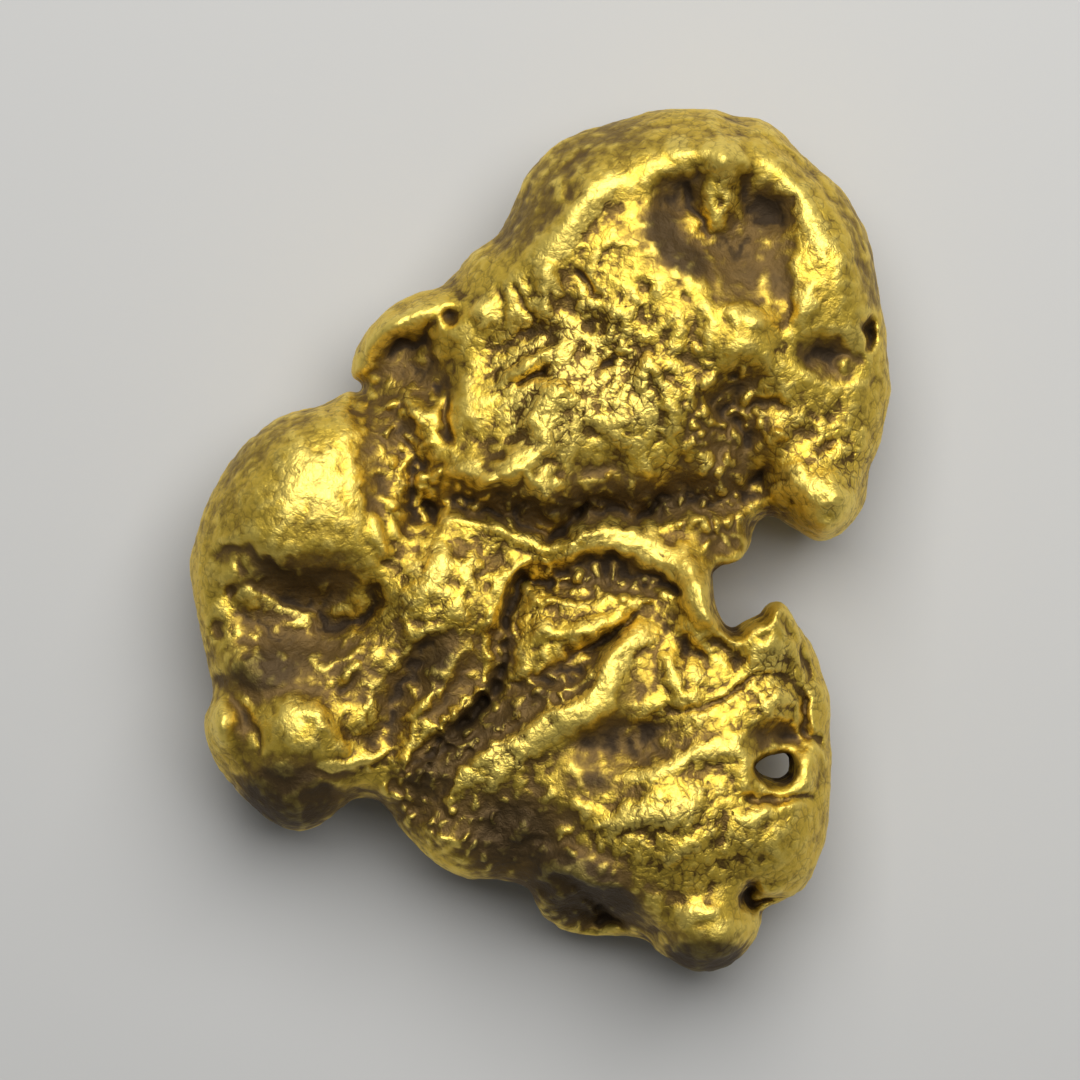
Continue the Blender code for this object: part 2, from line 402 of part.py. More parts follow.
def cracks(top, ledges):
    """The cleft between the lobes, the hollow inside the curled strip, and the long crack."""
    cleft = [(-3.7, 1.0), (-2.3, 1.1), (-1.1, 0.9), (0.1, 0.4), (1.2, 0.7), (2.8, 0.9), (4.2, 1.2),
             (5.4, 1.1), (6.9, 1.5)]
    top.ridge(cleft, -0.9, 1.1, 0.6, taper=0.12, start=0.3, end=0.5)
    top.ridge([(-0.9, -2.0), (0.2, -1.2), (2.0, -1.0), (3.6, -1.2), (4.4, -1.7)], -0.5, 0.7)
    seam = [(-0.5, -1.3), (-1.05, -2.4), (-1.1, -3.8), (-1.4, -4.8), (-2.3, -5.6), (-3.4, -6.5),
            (-4.4, -7.3)]
    top.ridge(seam, -0.4, 0.7, 0.5, taper=0.2, start=0.4, end=0.4)
    top.ridge([(-1.2, -4.4), (0.2, -4.3), (1.2, -3.8), (2.2, -3.0),
               (3.1, -2.3)], -0.45, 0.6, 0.4, start=0.6)
    ledges.ridge([(-3.7, 1.5), (-3.35, 1.0), (-3.15, 0.4)], -0.45, 0.26)
    ledges.ridge([(0.0, -0.2), (0.45, 0.25), (0.95, 0.7), (1.3, 0.95), (1.65, 1.45)], -0.6, 0.3)
    ledges.ridge([(2.7, 0.45), (3.1, 0.75), (3.5, 1.3), (4.1, 1.65)], -0.6, 0.3)
    ledges.ridge([(-0.3, -1.0), (-0.75, -1.45), (-1.0, -2.0), (-1.0, -2.8)], -0.8, 0.24, taper=0.2)
    ledges.lump(-1.35, -4.55, 0.35, 0.4, -0.5)
    ledges.ridge([(-1.5, -4.7), (-2.0, -5.3), (-2.6, -5.8)], -0.9, 0.24, taper=0.2)
    ledges.ridge([(-0.5, -1.15), (0.2, -1.3), (0.8, -1.3)], -0.4, 0.24)
    ledges.ridge([(3.1, -1.3), (3.8, -1.35), (4.4, -1.75)], -0.35, 0.26)
    ledges.lump(-0.4, -4.8, 0.45, 0.35, -0.4)
    ledges.ridge([(0.5, -3.8), (0.95, -3.5), (1.7, -3.35), (2.3, -2.85), (3.2, -2.2)], -0.4, 0.24)


def underside(belly):
    """The hidden side: worn lumps and hollows, and three feet that reach below the ground plane."""
    belly.lump(2.0, 5.5, 4.5, 3.5, 0.7, turn=25)
    belly.lump(-1.5, 0.4, 5.0, 1.6, 1.0, turn=-8)
    belly.lump(-4.0, -5.5, 1.8, 3.0, 0.9, turn=-30)
    belly.lump(1.0, -5.5, 2.6, 2.2, 0.4)
    belly.lump(7.0, 2.0, 2.6, 2.4, 0.6)
    belly.lump(-4.6, 5.6, 2.0, 1.8, 0.9)
    belly.lump(8.4, -5.3, 2.2, 3.4, 1.7)
    belly.lump(1.7, -12.0, 2.6, 1.5, 0.8)
    belly.lump(6.0, -0.6, 1.6, 1.4, 1.2)
    belly.lump(8.7, 0.4, 2.2, 1.9, 1.6)
    belly.ridge([(-9.0, 2.0), (-7.4, 1.0), (-6.6, -0.6), (-7.0, -2.0)], 0.35, 0.8)
    belly.ridge([(1.0, 9.5), (2.6, 8.6), (3.4, 7.0), (3.0, 5.0)], -0.4, 0.9)
    belly.ridge([(-2.0, -8.0), (0.0, -7.6), (1.8, -8.4), (3.0, -10.0)], -0.35, 0.8)
    belly.lump(8.3, 8.6, 1.2, 1.5, 0.45)
    belly.lump(-8.6, -6.4, 1.3, 1.2, 0.35)
    belly.lump(0.6, 2.8, 1.2, 0.9, -0.4)
    belly.lump(4.6, 3.6, 0.8, 1.1, 0.4)
    for x, y, half_length, half_width, turn in FEET:
        belly.lump(x, y, half_length, half_width, -FOOT_DEPTH, turn)


def cut_sheet(outline, hole):
    """A grid trimmed to the outline and the hole, with its edge pulled onto them."""
    sheet = bmesh.new()
    reach = np.ceil(np.abs(outline).max(0) + 1)
    columns, rows = (2 * reach / SHEET_PITCH).astype(int)
    bmesh.ops.create_grid(sheet, x_segments=columns, y_segments=rows, size=1)
    bmesh.ops.scale(sheet, verts=sheet.verts, vec=(reach[0], reach[1], 1))
    points = np.array([vert.co.xy for vert in sheet.verts])
    stays = np.ones(len(points), bool)
    for curve in (outline, hole):
        distance, place, _ = measure(points, curve, closed=True)
        close = np.abs(distance) < SHEET_PITCH / 2
        stays &= (distance < 0) | close
        points[close] = place[close]
    for vert, (x, y) in zip(sheet.verts, points):
        vert.co.xy = x, y
    outside = [vert for vert, stay in zip(sheet.verts, stays) if not stay]
    bmesh.ops.delete(sheet, geom=outside, context="VERTS")
    loose = [vert for vert in sheet.verts if not vert.link_faces]
    bmesh.ops.delete(sheet, geom=loose, context="VERTS")
    return sheet


def raise_sides(sheet, outline, hole):
    """Give the sheet its upper and lower sides, which meet along its edge."""
    points = np.array([vert.co.xy for vert in sheet.verts])
    from_outline = np.abs(measure(points, outline, closed=True)[0])
    from_hole = np.abs(measure(points, hole, closed=True)[0])
    at_edge = np.array([vert.is_boundary for vert in sheet.verts])
    from_outline[at_edge] = 0
    rim = rim_heights(points)
    rounding = rim_roundings(points)
    swell = np.minimum(rounded(from_outline / rounding), rounded(from_hole / HOLE_ROUNDING))
    inland = np.clip(np.minimum(from_outline, from_hole) / LEDGE_FADE, 0, 1)

    top = Relief(wavering(points, 0.25, 0.05), CROWN)
    ledges = Relief(wavering(points, 0.25, 0.1), 0)
    upper_lobe(top)
    for region in (flap, left_mass, centre, lower_body, cracks):
        region(top, ledges)
    for region in (socket, right_flank, plateau, ear, bead_and_lip):
        region(ledges)
    belly = Relief(wavering(points, 0.5, 0.1), BELLY_CLEARANCE)
    underside(belly)
    upper = rim + swell * top.height + inland * ledges.height
    keel = np.minimum(rounded(from_outline / (BELLY_ROUNDING * rounding)), rounded(from_hole / HOLE_ROUNDING))
    lower = rim - keel * (rim - belly.height)

    hidden = sheet.verts.layers.float.new("lower")
    for vert, up, down in zip(sheet.verts, upper, lower):
        vert.co.z = up
        vert[hidden] = down
    copy = bmesh.ops.duplicate(sheet, geom=sheet.verts[:] + sheet.edges[:] + sheet.faces[:])["geom"]
    for piece in copy:
        if isinstance(piece, bmesh.types.BMVert):
            piece.co.z = piece[hidden]
    bmesh.ops.reverse_faces(sheet, faces=[piece for piece in copy if isinstance(piece, bmesh.types.BMFace)])
    bmesh.ops.remove_doubles(sheet, verts=sheet.verts, dist=SHEET_PITCH / 100)


def crumple(nugget):
    """Small lumps over all sides, which keep the sides from looking turned."""
    normals = [normal.vector.copy() for normal in nugget.data.vertex_normals]
    for vert, normal in zip(nugget.data.vertices, normals):
        vert.co += CRUMPLE * noise.fractal(0.8 * vert.co, 1.0, 2.0, 3) * normal


def rest_on_flats(nugget):
    """Cut the three feet off at the ground plane and close them with flat faces."""
    form = bmesh.new()
    form.from_mesh(nugget.data)
    everything = form.verts[:] + form.edges[:] + form.faces[:]
    cut = bmesh.ops.bisect_plane(form, geom=everything, dist=1e-5, plane_co=(0, 0, 0), plane_no=(0, 0, -1),
                                 clear_outer=True)["geom_cut"]
    bmesh.ops.edgeloop_fill(form, edges=[piece for piece in cut if isinstance(piece, bmesh.types.BMEdge)])
    bmesh.ops.triangulate(form, faces=form.faces)
    form.to_mesh(nugget.data)
    form.free()


def evaluated(nugget):
    """Apply the object's modifiers to its mesh."""
    mesh = bpy.data.meshes.new_from_object(nugget.evaluated_get(bpy.context.evaluated_depsgraph_get()))
    nugget.modifiers.clear()
    nugget.data = mesh


def worn_gold():
    """The finish: a worn native gold."""
    gold = bpy.data.materials.new("gold")
    gold.use_nodes = True
    surface = gold.node_tree.nodes["Principled BSDF"]
    surface.inputs["Base Color"].default_value = (0.72, 0.47, 0.08, 1)
    surface.inputs["Metallic"].default_value = 1
    surface.inputs["Roughness"].default_value = 0.38
    return gold


for leftover in list(bpy.data.objects):
    bpy.data.objects.remove(leftover, do_unlink=True)

outline = smooth_curve(OUTLINE, closed=True)
hole = smooth_curve(HOLE, closed=True)[::-1]
sheet = cut_sheet(outline, hole)
raise_sides(sheet, outline, hole)
mesh = bpy.data.meshes.new("gold_nugget")
sheet.to_mesh(mesh)
sheet.free()
nugget = bpy.data.objects.new("gold_nugget", mesh)
bpy.context.collection.objects.link(nugget)

remesh = nugget.modifiers.new("even", "REMESH")
remesh.mode = "VOXEL"
remesh.voxel_size = VOXEL
evaluated(nugget)
crumple(nugget)
decimate = nugget.modifiers.new("fewer", "DECIMATE")
decimate.ratio = TRIANGLES / (2 * len(nugget.data.polygons))
evaluated(nugget)
rest_on_flats(nugget)

low = np.min([vert.co for vert in nugget.data.vertices], axis=0)
high = np.max([vert.co for vert in nugget.data.vertices], axis=0)
for vert in nugget.data.vertices:
    vert.co.x -= (low[0] + high[0]) / 2
    vert.co.y -= (low[1] + high[1]) / 2
    vert.co *= MM
nugget.data.name = "gold_nugget"
nugget.data.materials.append(worn_gold())
nugget.data.shade_smooth()
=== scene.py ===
"""A natural gold nugget lying on a pale floor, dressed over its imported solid."""

import random

import bmesh
import bpy
import numpy as np
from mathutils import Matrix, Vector, kdtree, noise


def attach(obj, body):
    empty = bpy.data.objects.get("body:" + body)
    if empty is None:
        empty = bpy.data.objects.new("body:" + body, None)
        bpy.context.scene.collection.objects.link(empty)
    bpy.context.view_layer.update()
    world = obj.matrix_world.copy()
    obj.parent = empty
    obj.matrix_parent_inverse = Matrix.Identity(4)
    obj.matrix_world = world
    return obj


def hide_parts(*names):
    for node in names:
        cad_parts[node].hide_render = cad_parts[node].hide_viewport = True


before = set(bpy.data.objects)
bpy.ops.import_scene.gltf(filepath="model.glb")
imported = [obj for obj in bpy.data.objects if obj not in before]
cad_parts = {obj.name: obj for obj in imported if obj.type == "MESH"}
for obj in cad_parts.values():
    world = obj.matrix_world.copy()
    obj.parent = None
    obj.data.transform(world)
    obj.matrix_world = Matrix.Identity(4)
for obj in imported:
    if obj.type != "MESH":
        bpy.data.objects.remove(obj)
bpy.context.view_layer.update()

# ---------------------------------------------------------------------------------------------------------
# The nugget's plan. Native gold, cast by nature in one lump and hammered by river gravel into a thick
# plate of two lobes with a notch on the right and a pinhole through its thin edge. It is worked in
# millimetres, as a sheet cut to that outline.

SHEET_PITCH = 0.07
OUTLINE = [
    (-5.95, 5.25), (-5.6, 6.3), (-4.9, 7.15), (-4.0, 7.7), (-3.0, 8.05), (-2.2, 8.95), (-1.4, 9.55),
    (-0.95, 10.3), (-0.5, 11.35), (0.1, 12.1), (1.1, 12.7), (2.4, 13.1), (3.8, 13.45), (5.3, 13.47),
    (6.1, 13.22), (6.9, 13.15), (7.6, 12.65), (8.5, 11.8), (9.3, 11.1), (9.8, 10.35), (10.2, 9.5),
    (10.45, 8.2), (10.7, 7.0), (10.8, 5.9), (10.92, 4.6), (10.7, 3.2), (10.3, 2.2), (10.1, 1.2), (9.6, 0.4),
    (8.8, -0.05), (8.0, 0.3), (7.2, 0.75), (6.65, 0.45), (6.5, -0.2), (6.2, -0.65), (5.5, -0.85),
    (5.3, -1.15), (5.4, -1.9), (5.6, -2.4), (6.0, -2.75), (6.3, -2.5), (6.8, -2.3), (7.0, -2.0),
    (7.3, -1.82), (7.7, -2.05), (8.0, -2.6), (8.55, -3.3), (8.75, -4.15), (9.02, -5.0), (9.05, -6.4),
    (9.05, -8.2), (8.85, -9.5), (8.4, -10.6), (7.7, -11.2), (6.95, -11.55), (6.87, -12.0), (6.5, -12.75),
    (5.8, -13.3), (4.9, -13.5), (4.2, -13.2), (3.6, -12.8), (3.15, -12.42), (1.6, -12.4), (0.6, -12.15),
    (-0.05, -11.6), (-0.3, -11.0), (-0.6, -10.75), (-1.4, -10.6), (-2.4, -10.55), (-3.2, -10.15),
    (-4.2, -9.25), (-4.7, -8.55), (-5.2, -8.12), (-5.9, -8.17), (-6.6, -8.7), (-7.4, -9.05), (-8.3, -8.8),
    (-9.2, -8.1), (-10.0, -7.15), (-10.4, -6.3), (-10.48, -5.6), (-10.33, -5.05), (-10.25, -4.6),
    (-10.5, -3.6), (-10.75, -2.3), (-10.95, -0.9), (-10.75, 0.3), (-10.3, 1.5), (-9.6, 2.6), (-8.8, 3.4),
    (-8.0, 3.92), (-7.3, 4.1), (-6.6, 4.4), (-6.1, 4.7), (-5.72, 4.66), (-5.62, 4.88),
]
PINHOLE = [(7.05, -7.33), (7.5, -7.4), (7.72, -7.15), (7.66, -6.66), (7.1, -6.72), (6.68, -6.98)]


def smooth_curve(points, closed=False, steps=6):
    """Points along a smooth curve through the given ones."""
    knots = np.array(points, float)
    if closed:
        knots = np.concatenate([knots[-1:], knots, knots[:2]])
    else:
        knots = np.concatenate([2 * knots[:1] - knots[1:2], knots, 2 * knots[-1:] - knots[-2:-1]])
    t = np.linspace(0, 1, steps, endpoint=False)[:, None]
    curve = []
    for a, b, c, d in zip(knots, knots[1:], knots[2:], knots[3:]):
        cubic = 3 * b - a - 3 * c + d
        square = 2 * a - 5 * b + 4 * c - d
        curve.append(0.5 * (2 * b + (c - a) * t + square * t**2 + cubic * t**3))
    if not closed:
        curve.append(knots[-2:-1])
    return np.concatenate(curve)


def measure(points, curve, closed=False):
    """Each point's distance to the curve, positive on its left, its nearest place, and that place's share."""
    starts = curve if closed else curve[:-1]
    ends = np.roll(curve, -1, axis=0) if closed else curve[1:]
    lengths = np.linalg.norm(ends - starts, axis=1)
    travelled = np.concatenate([[0], np.cumsum(lengths)])
    nearest = np.full(len(points), np.inf)
    side = np.ones(len(points))
    place = np.zeros((len(points), 2))
    share = np.zeros(len(points))
    for start, end, length, before in zip(starts, ends, lengths, travelled):
        run = (end - start) / length
        offset = points - start
        along = np.clip(offset @ run, 0, length)
        foot = start + along[:, None] * run
        distance = np.hypot(*(points - foot).T)
        closer = distance < nearest
        nearest[closer] = distance[closer]
        side[closer] = np.where(run[0] * offset[closer, 1] < run[1] * offset[closer, 0], -1, 1)
        place[closer] = foot[closer]
        share[closer] = (before + along[closer]) / travelled[-1]
    return nearest * side, place, share


outline = smooth_curve(OUTLINE, closed=True)
pinhole = smooth_curve(PINHOLE, closed=True)
sheet = bmesh.new()
reach = np.ceil(np.abs(outline).max(0) + 1)
columns, rows = (2 * reach / SHEET_PITCH).astype(int)
bmesh.ops.create_grid(sheet, x_segments=columns, y_segments=rows, size=1)
bmesh.ops.scale(sheet, verts=sheet.verts, vec=(reach[0], reach[1], 1))
points = np.array([vert.co.xy for vert in sheet.verts])
from_edge = []
stays = np.ones(len(points), bool)
for curve in (outline, pinhole):
    distance, place, _ = measure(points, curve, closed=True)
    close = np.abs(distance) < SHEET_PITCH / 2
    stays &= (distance < 0) | close
    points[close] = place[close]
    from_edge.append(np.where(close, 0, np.abs(distance)))
for vert, (x, y), outer, inner in zip(sheet.verts, points, *from_edge):
    vert.co.xy = x, y
outside = [vert for vert, stay in zip(sheet.verts, stays) if not stay]
bmesh.ops.delete(sheet, geom=outside, context="VERTS")
points = points[stays]
from_outline, from_pinhole = (distance[stays] for distance in from_edge)
loose = [vert for vert in sheet.verts if not vert.link_faces]
linked = np.array([bool(vert.link_faces) for vert in sheet.verts])
bmesh.ops.delete(sheet, geom=loose, context="VERTS")
points, from_outline, from_pinhole = points[linked], from_outline[linked], from_pinhole[linked]
from_outline[[vert.is_boundary for vert in sheet.verts]] = 0

# ---------------------------------------------------------------------------------------------------------
# The two sides. They meet in a rim that rounds over tightly on the thin parts and slowly on the worn
# flanks, and each is raised and hollowed by lumps and ridges that are laid on one by one.

RIM_HEIGHT = 3.2
RIM_ROUNDING = 1.9
BELLY_ROUNDING = 2.0
PINHOLE_ROUNDING = 0.3
CROWN = 2.7
BELLY_CLEARANCE = 0.7
LEDGE_FADE = 0.35


def bell(reach):
    """A height of 1 that falls smoothly to 0 at a reach of 1."""
    return np.clip(1 - reach**2, 0, 1)**2


def rounded(share):
    """The height of a quarter circle, from 0 at the edge to 1."""
    return np.sqrt(1 - (1 - np.clip(share, 0, 1))**2)


class Relief:
    """A height over every point of the plan, raised and hollowed by lumps and ridges."""

    def __init__(self, points, level):
        self.points = points
        self.height = np.full(len(points), float(level))

    def lump(self, x, y, half_length, half_width, rise, turn=0):
        """A round lump, or with a negative rise a hollow, turned anticlockwise by degrees."""
        angle = np.radians(turn)
        east, north = self.points[:, 0] - x, self.points[:, 1] - y
        near = np.maximum(np.abs(east), np.abs(north)) < max(half_length, half_width)
        east, north = east[near], north[near]
        along = east * np.cos(angle) + north * np.sin(angle)
        across = north * np.cos(angle) - east * np.sin(angle)
        self.height[near] += rise * bell(np.hypot(along / half_length, across / half_width))

    def ridge(self, route, rise, left, right=None, taper=0.35, start=0, end=0):
        """A ridge, or with a negative rise a crease, with its own widths left and right of its run."""
        right = right or left
        curve = smooth_curve(route)
        reach = max(left, right)
        near = np.all((self.points > curve.min(0) - reach) & (self.points < curve.max(0) + reach), axis=1)
        distance, _, share = measure(self.points[near], curve)
        first = np.sin(np.pi / 2 * np.clip(share / taper, 0, 1))
        last = np.sin(np.pi / 2 * np.clip((1 - share) / taper, 0, 1))
        strength = (start + (1 - start) * first) * (end + (1 - end) * last)
        self.height[near] += rise * strength * bell(distance / np.where(distance > 0, left, right))


    def scatter(self, route, spread, count, size, rise, seed):
        """Grains strewn along a route, each a little different."""
        dice = random.Random(seed)
        curve = smooth_curve(route)
        for _ in range(count):
            x, y = curve[dice.randrange(len(curve))]
            grain = size * dice.uniform(0.6, 1.3)
            self.lump(x + dice.gauss(0, spread), y + dice.gauss(0, spread), grain, grain * dice.uniform(0.6, 1),
                      rise * dice.uniform(0.5, 1.3), dice.uniform(0, 180))


def wavering(points, coarse, fine):
    """The points shifted by a little noise, so that no lump or ridge is geometrically clean."""
    shifted = []
    for x, y in points:
        slow = noise.noise_vector(Vector((0.7 * x, 0.7 * y, 3.0)))
        quick = noise.noise_vector(Vector((2.4 * x, 2.4 * y, 8.0)))
        shifted.append((x + coarse * slow.x + fine * quick.x, y + coarse * slow.y + fine * quick.y))
    return np.array(shifted)


rim = Relief(points, RIM_HEIGHT)
rim.lump(4.5, 8, 9, 8, 0.4)
rim.lump(1.7, -12.3, 3.0, 1.8, -0.8)
rim.lump(8.6, -5.5, 2.5, 4.0, 0.4)
rim.lump(-5.6, 5.5, 2.0, 1.6, -0.4)
rim.lump(6.4, -1.4, 3.2, 2.6, 1.5)
rim.lump(-10.5, -5.6, 1.4, 1.6, 0.5)
rounding = Relief(points, RIM_ROUNDING)
rounding.lump(2, 9, 6, 6, 0.4)
rounding.lump(10.3, 8.0, 2.4, 4.2, -0.85)
rounding.lump(-8.5, 0.0, 4, 4, 0.7)
rounding.lump(-7.2, 3.6, 2.8, 2.0, -0.5)
rounding.lump(7.6, -5.2, 2.6, 4.0, -1.4)
rounding.lump(5.5, -12.6, 2.2, 2.0, -0.6)
rounding.lump(1.6, -11.8, 2.6, 1.6, -1.0)
rounding.lump(-4.9, 6.2, 2.2, 1.6, -1.0)
rounding.lump(-9.9, -5.6, 1.0, 1.4, -0.7)
rounding.lump(8.8, 0.7, 2.2, 1.8, -1.3)
rounding.lump(5.7, -1.3, 2.4, 2.4, -1.5)
rounding.lump(7.2, -2.4, 2.0, 1.8, -1.2)
rounding.lump(6.2, -2.3, 2.6, 1.9, -1.2)
rounding = np.clip(rounding.height, 0.45, None)
top = Relief(wavering(points, 0.25, 0.05), CROWN)
ledges = Relief(wavering(points, 0.25, 0.14), 0)

# ---------------------------------------------------------------------------------------------------------
# The upper lobe. A smooth flank climbs to a brow that curls round a deep socket, with a tongue of gold
# hanging into it. Below the brow lies a broken plateau, and on the right a pitted flank and a lipped knob.

top.lump(4.0, 7.9, 8.5, 7.6, 1.3)
brow = [(-3.0, 6.9), (-1.5, 7.7), (-0.4, 8.5), (0.3, 9.4), (1.2, 10.5), (2.2, 11.5), (3.7, 12.1), (5.6, 12.3),
        (7.0, 11.9), (7.9, 11.2), (8.5, 10.3), (8.9, 9.3), (9.0, 8.2), (8.6, 7.0)]
top.ridge(brow, 0.4, 1.4, 1.5, taper=0.2)
top.ridge(brow[2:6], 0.25, 0.4, 1.0)
top.ridge([(2.9, 10.9), (3.7, 11.5), (4.7, 11.8), (5.7, 11.8), (6.7, 11.5), (7.5, 10.9), (8.1, 10.1), (8.4, 9.2)],
          0.12, 0.9, 1.0, start=0.3, end=0.3)
top.lump(5.7, 9.8, 3.0, 2.2, -0.95)
top.lump(6.3, 8.3, 2.0, 1.6, -0.45)
top.lump(6.3, 6.1, 1.7, 1.6, 0.5)
top.lump(0.0, 2.7, 4.4, 3.8, 1.05, turn=8)
top.lump(3.6, 3.4, 2.2, 3.0, 0.35, turn=-10)
top.lump(-0.6, 6.2, 1.4, 0.8, -0.2)
top.lump(2.6, 5.6, 1.2, 0.9, -0.12)
top.lump(9.0, 7.8, 1.6, 2.2, 0.25)
top.lump(8.8, 1.2, 2.2, 2.2, 0.6)
top.ridge([(6.9, 2.3), (7.6, 1.8), (8.4, 1.4), (9.2, 1.2), (9.9, 1.7)], 0.3, 1.0, 0.5, start=0.3, end=0.3)
top.lump(2.2, 1.9, 1.7, 1.2, -0.25, turn=-15)
top.lump(9.2, 4.2, 1.6, 1.4, -0.25)
top.lump(6.1, 3.9, 1.5, 1.9, -0.8, turn=-10)
top.lump(6.7, 2.1, 1.2, 1.3, -0.75)
top.lump(4.6, 2.0, 1.6, 1.0, -0.25)
top.lump(5.9, -0.2, 1.5, 1.2, -1.3)

# The socket and the tongue.
ledges.lump(7.1, 10.1, 1.0, 0.9, -0.35)
ledges.lump(4.3, 10.5, 1.0, 0.9, -0.25)
ledges.ridge([(5.6, 12.6), (5.6, 11.8), (5.55, 11.0), (5.45, 10.2), (5.3, 9.4)], 0.62, 0.95, taper=0.4, start=0.4)
ledges.lump(5.6, 11.3, 0.7, 1.1, 0.2)
ledges.ridge([(4.95, 11.9), (5.05, 11.0), (5.2, 10.1), (5.3, 9.3)], 0.14, 0.4, 0.3)
ledges.ridge([(6.35, 11.9), (6.1, 11.0), (5.75, 10.3), (5.4, 9.5)], 0.14, 0.3, 0.4)
ledges.ridge([(4.55, 11.1), (4.7, 10.2), (5.1, 9.2)], -0.2, 0.22)
ledges.lump(4.8, 11.95, 0.6, 0.5, 0.16)
ledges.ridge([(7.75, 9.4), (7.65, 8.3), (7.75, 7.2), (7.6, 6.2), (7.5, 5.3)], -0.12, 0.25, 0.8, start=0.5)
ledges.lump(4.25, 12.1, 0.55, 0.5, 0.12)
ledges.lump(8.1, 7.3, 0.4, 0.7, 0.2, turn=-10)
ledges.lump(6.0, 6.9, 0.4, 0.5, 0.15)
ledges.lump(6.7, 6.75, 0.55, 0.5, 0.18)
ledges.ridge([(0.45, 11.3), (0.7, 10.6), (0.7, 9.9)], 0.1, 0.4)
ledges.ridge([(0.6, 11.3), (1.1, 11.75), (1.7, 12.0)], -0.16, 0.22, 0.5)
ledges.lump(1.0, 10.8, 0.5, 0.9, -0.15, turn=-25)
rim_seam = [(6.3, 13.3), (6.8, 12.5), (7.3, 12.0), (8.2, 11.4), (9.2, 10.3), (9.75, 9.2), (9.95, 8.0)]
ledges.ridge(rim_seam, -0.22, 0.3, 0.22, taper=0.25)
ledges.ridge([(x + 0.3, y + 0.3) for x, y in rim_seam[1:]], 0.12, 0.3)

# The right flank.
ledges.lump(8.9, 5.65, 1.5, 1.0, -0.65, turn=-15)
ledges.lump(9.3, 5.4, 0.5, 0.4, 0.35)
ledges.lump(10.15, 6.4, 0.32, 0.7, -1.1)
ledges.lump(10.35, 4.9, 0.35, 0.35, -0.15)
ledges.lump(10.2, 3.3, 0.35, 0.35, -0.15)
ledges.ridge([(9.9, 3.6), (9.95, 2.6), (9.6, 1.6)], 0.2, 0.45)
ledges.lump(8.2, 3.4, 0.5, 0.4, -0.18)
ledges.lump(8.85, 3.0, 0.45, 0.35, -0.14)
ledges.lump(9.4, 3.05, 0.3, 0.3, -0.1)
ledges.lump(6.4, 3.3, 0.55, 0.6, -0.28)
ledges.lump(6.75, 1.85, 0.5, 0.45, -0.4)
ledges.ridge([(6.4, 4.1), (7.0, 4.15), (7.7, 3.9)], -0.25, 0.35)
ledges.lump(5.75, 3.75, 0.4, 0.4, -0.2)
ledges.ridge([(4.6, 4.6), (4.85, 3.9), (4.9, 3.3)], -0.2, 0.25)
ledges.lump(5.2, 4.3, 0.6, 0.5, -0.2)
ledges.lump(5.6, 2.9, 0.6, 0.6, -0.25)
ledges.lump(7.3, 3.2, 0.5, 0.4, 0.15)
ledges.lump(5.9, 5.1, 0.3, 0.25, -0.3)

# The broken plateau.
ledges.ridge([(-1.35, 8.0), (-1.2, 7.2), (-1.3, 6.5)], -0.15, 0.2)
ledges.ridge([(-1.0, 7.9), (-0.4, 7.0), (-0.4, 6.4)], -0.14, 0.2)
ledges.ridge([(-1.8, 7.7), (-1.75, 6.6)], 0.22, 0.35)
ledges.ridge([(0.35, 8.6), (0.15, 7.6), (-0.1, 6.6)], 0.31, 0.5, 0.4)
ledges.ridge([(0.9, 8.25), (1.2, 8.05), (1.5, 7.8), (1.85, 7.55)], -0.24, 0.18)
ledges.ridge([(0.6, 7.6), (1.1, 6.9), (1.9, 6.3)], -0.18, 0.5, 0.4)
ledges.lump(2.4, 7.0, 0.7, 0.55, 0.2)
ledges.ridge([(3.0, 8.2), (3.3, 7.3), (3.0, 6.5)], -0.14, 0.35)
ledges.ridge([(4.15, 7.5), (4.6, 7.3)], -0.1, 0.2)
ledges.ridge([(3.8, 7.2), (4.2, 6.3), (4.0, 5.5)], 0.19, 0.4)
ledges.ridge([(4.9, 7.4), (5.2, 6.5), (5.0, 5.6)], 0.19, 0.45)
ledges.ridge([(1.0, 5.9), (0.1, 5.6), (-0.6, 5.25), (-1.5, 5.0)], 0.38, 0.45, 0.35)
ledges.ridge([(-1.0, 4.75), (-0.3, 4.95), (0.2, 5.1), (0.7, 5.0)], -0.24, 0.25)
ledges.ridge([(1.6, 4.95), (2.1, 5.4), (2.6, 5.75)], -0.12, 0.2)
ledges.ridge([(3.15, 5.7), (3.0, 5.0), (2.85, 4.4)], 0.25, 0.35)
ledges.ridge([(1.4, 4.4), (0.6, 4.3), (0.1, 3.6), (0.1, 2.9), (-0.6, 2.3), (-1.8, 2.2)], 0.38, 0.6, 0.9, taper=0.2)
ledges.lump(1.5, 3.0, 0.9, 1.1, -0.1, turn=-15)
ledges.ridge([(0.9, 4.4), (1.5, 3.6), (2.2, 2.9), (2.6, 2.2)], -0.1, 0.3, 0.5)
ledges.ridge([(3.2, 5.7), (3.5, 4.8), (3.9, 3.8), (4.1, 2.9)], 0.26, 0.6, 0.4)
ledges.ridge([(3.6, 3.4), (3.3, 2.6), (3.7, 2.1)], -0.08, 0.3)
ledges.ridge([(4.0, 5.6), (4.4, 4.8), (4.3, 4.0)], 0.14, 0.4)
ledges.ridge([(4.4, 3.2), (4.9, 2.6), (5.4, 2.3)], 0.15, 0.45)
ledges.lump(-2.2, 4.1, 1.0, 1.1, 0.15)
ledges.ridge([(-2.95, 4.7), (-3.0, 3.8), (-2.9, 2.8)], -0.38, 0.25, 0.3)
ledges.ridge([(-3.2, 2.3), (-2.4, 2.1), (-1.5, 1.9), (-0.6, 1.9), (0.2, 1.55), (0.9, 1.2)], 0.56, 1.0, 0.4)
ledges.ridge([(1.2, 1.4), (1.9, 1.6), (2.6, 1.4), (3.2, 1.8)], 0.25, 0.6, 0.35)
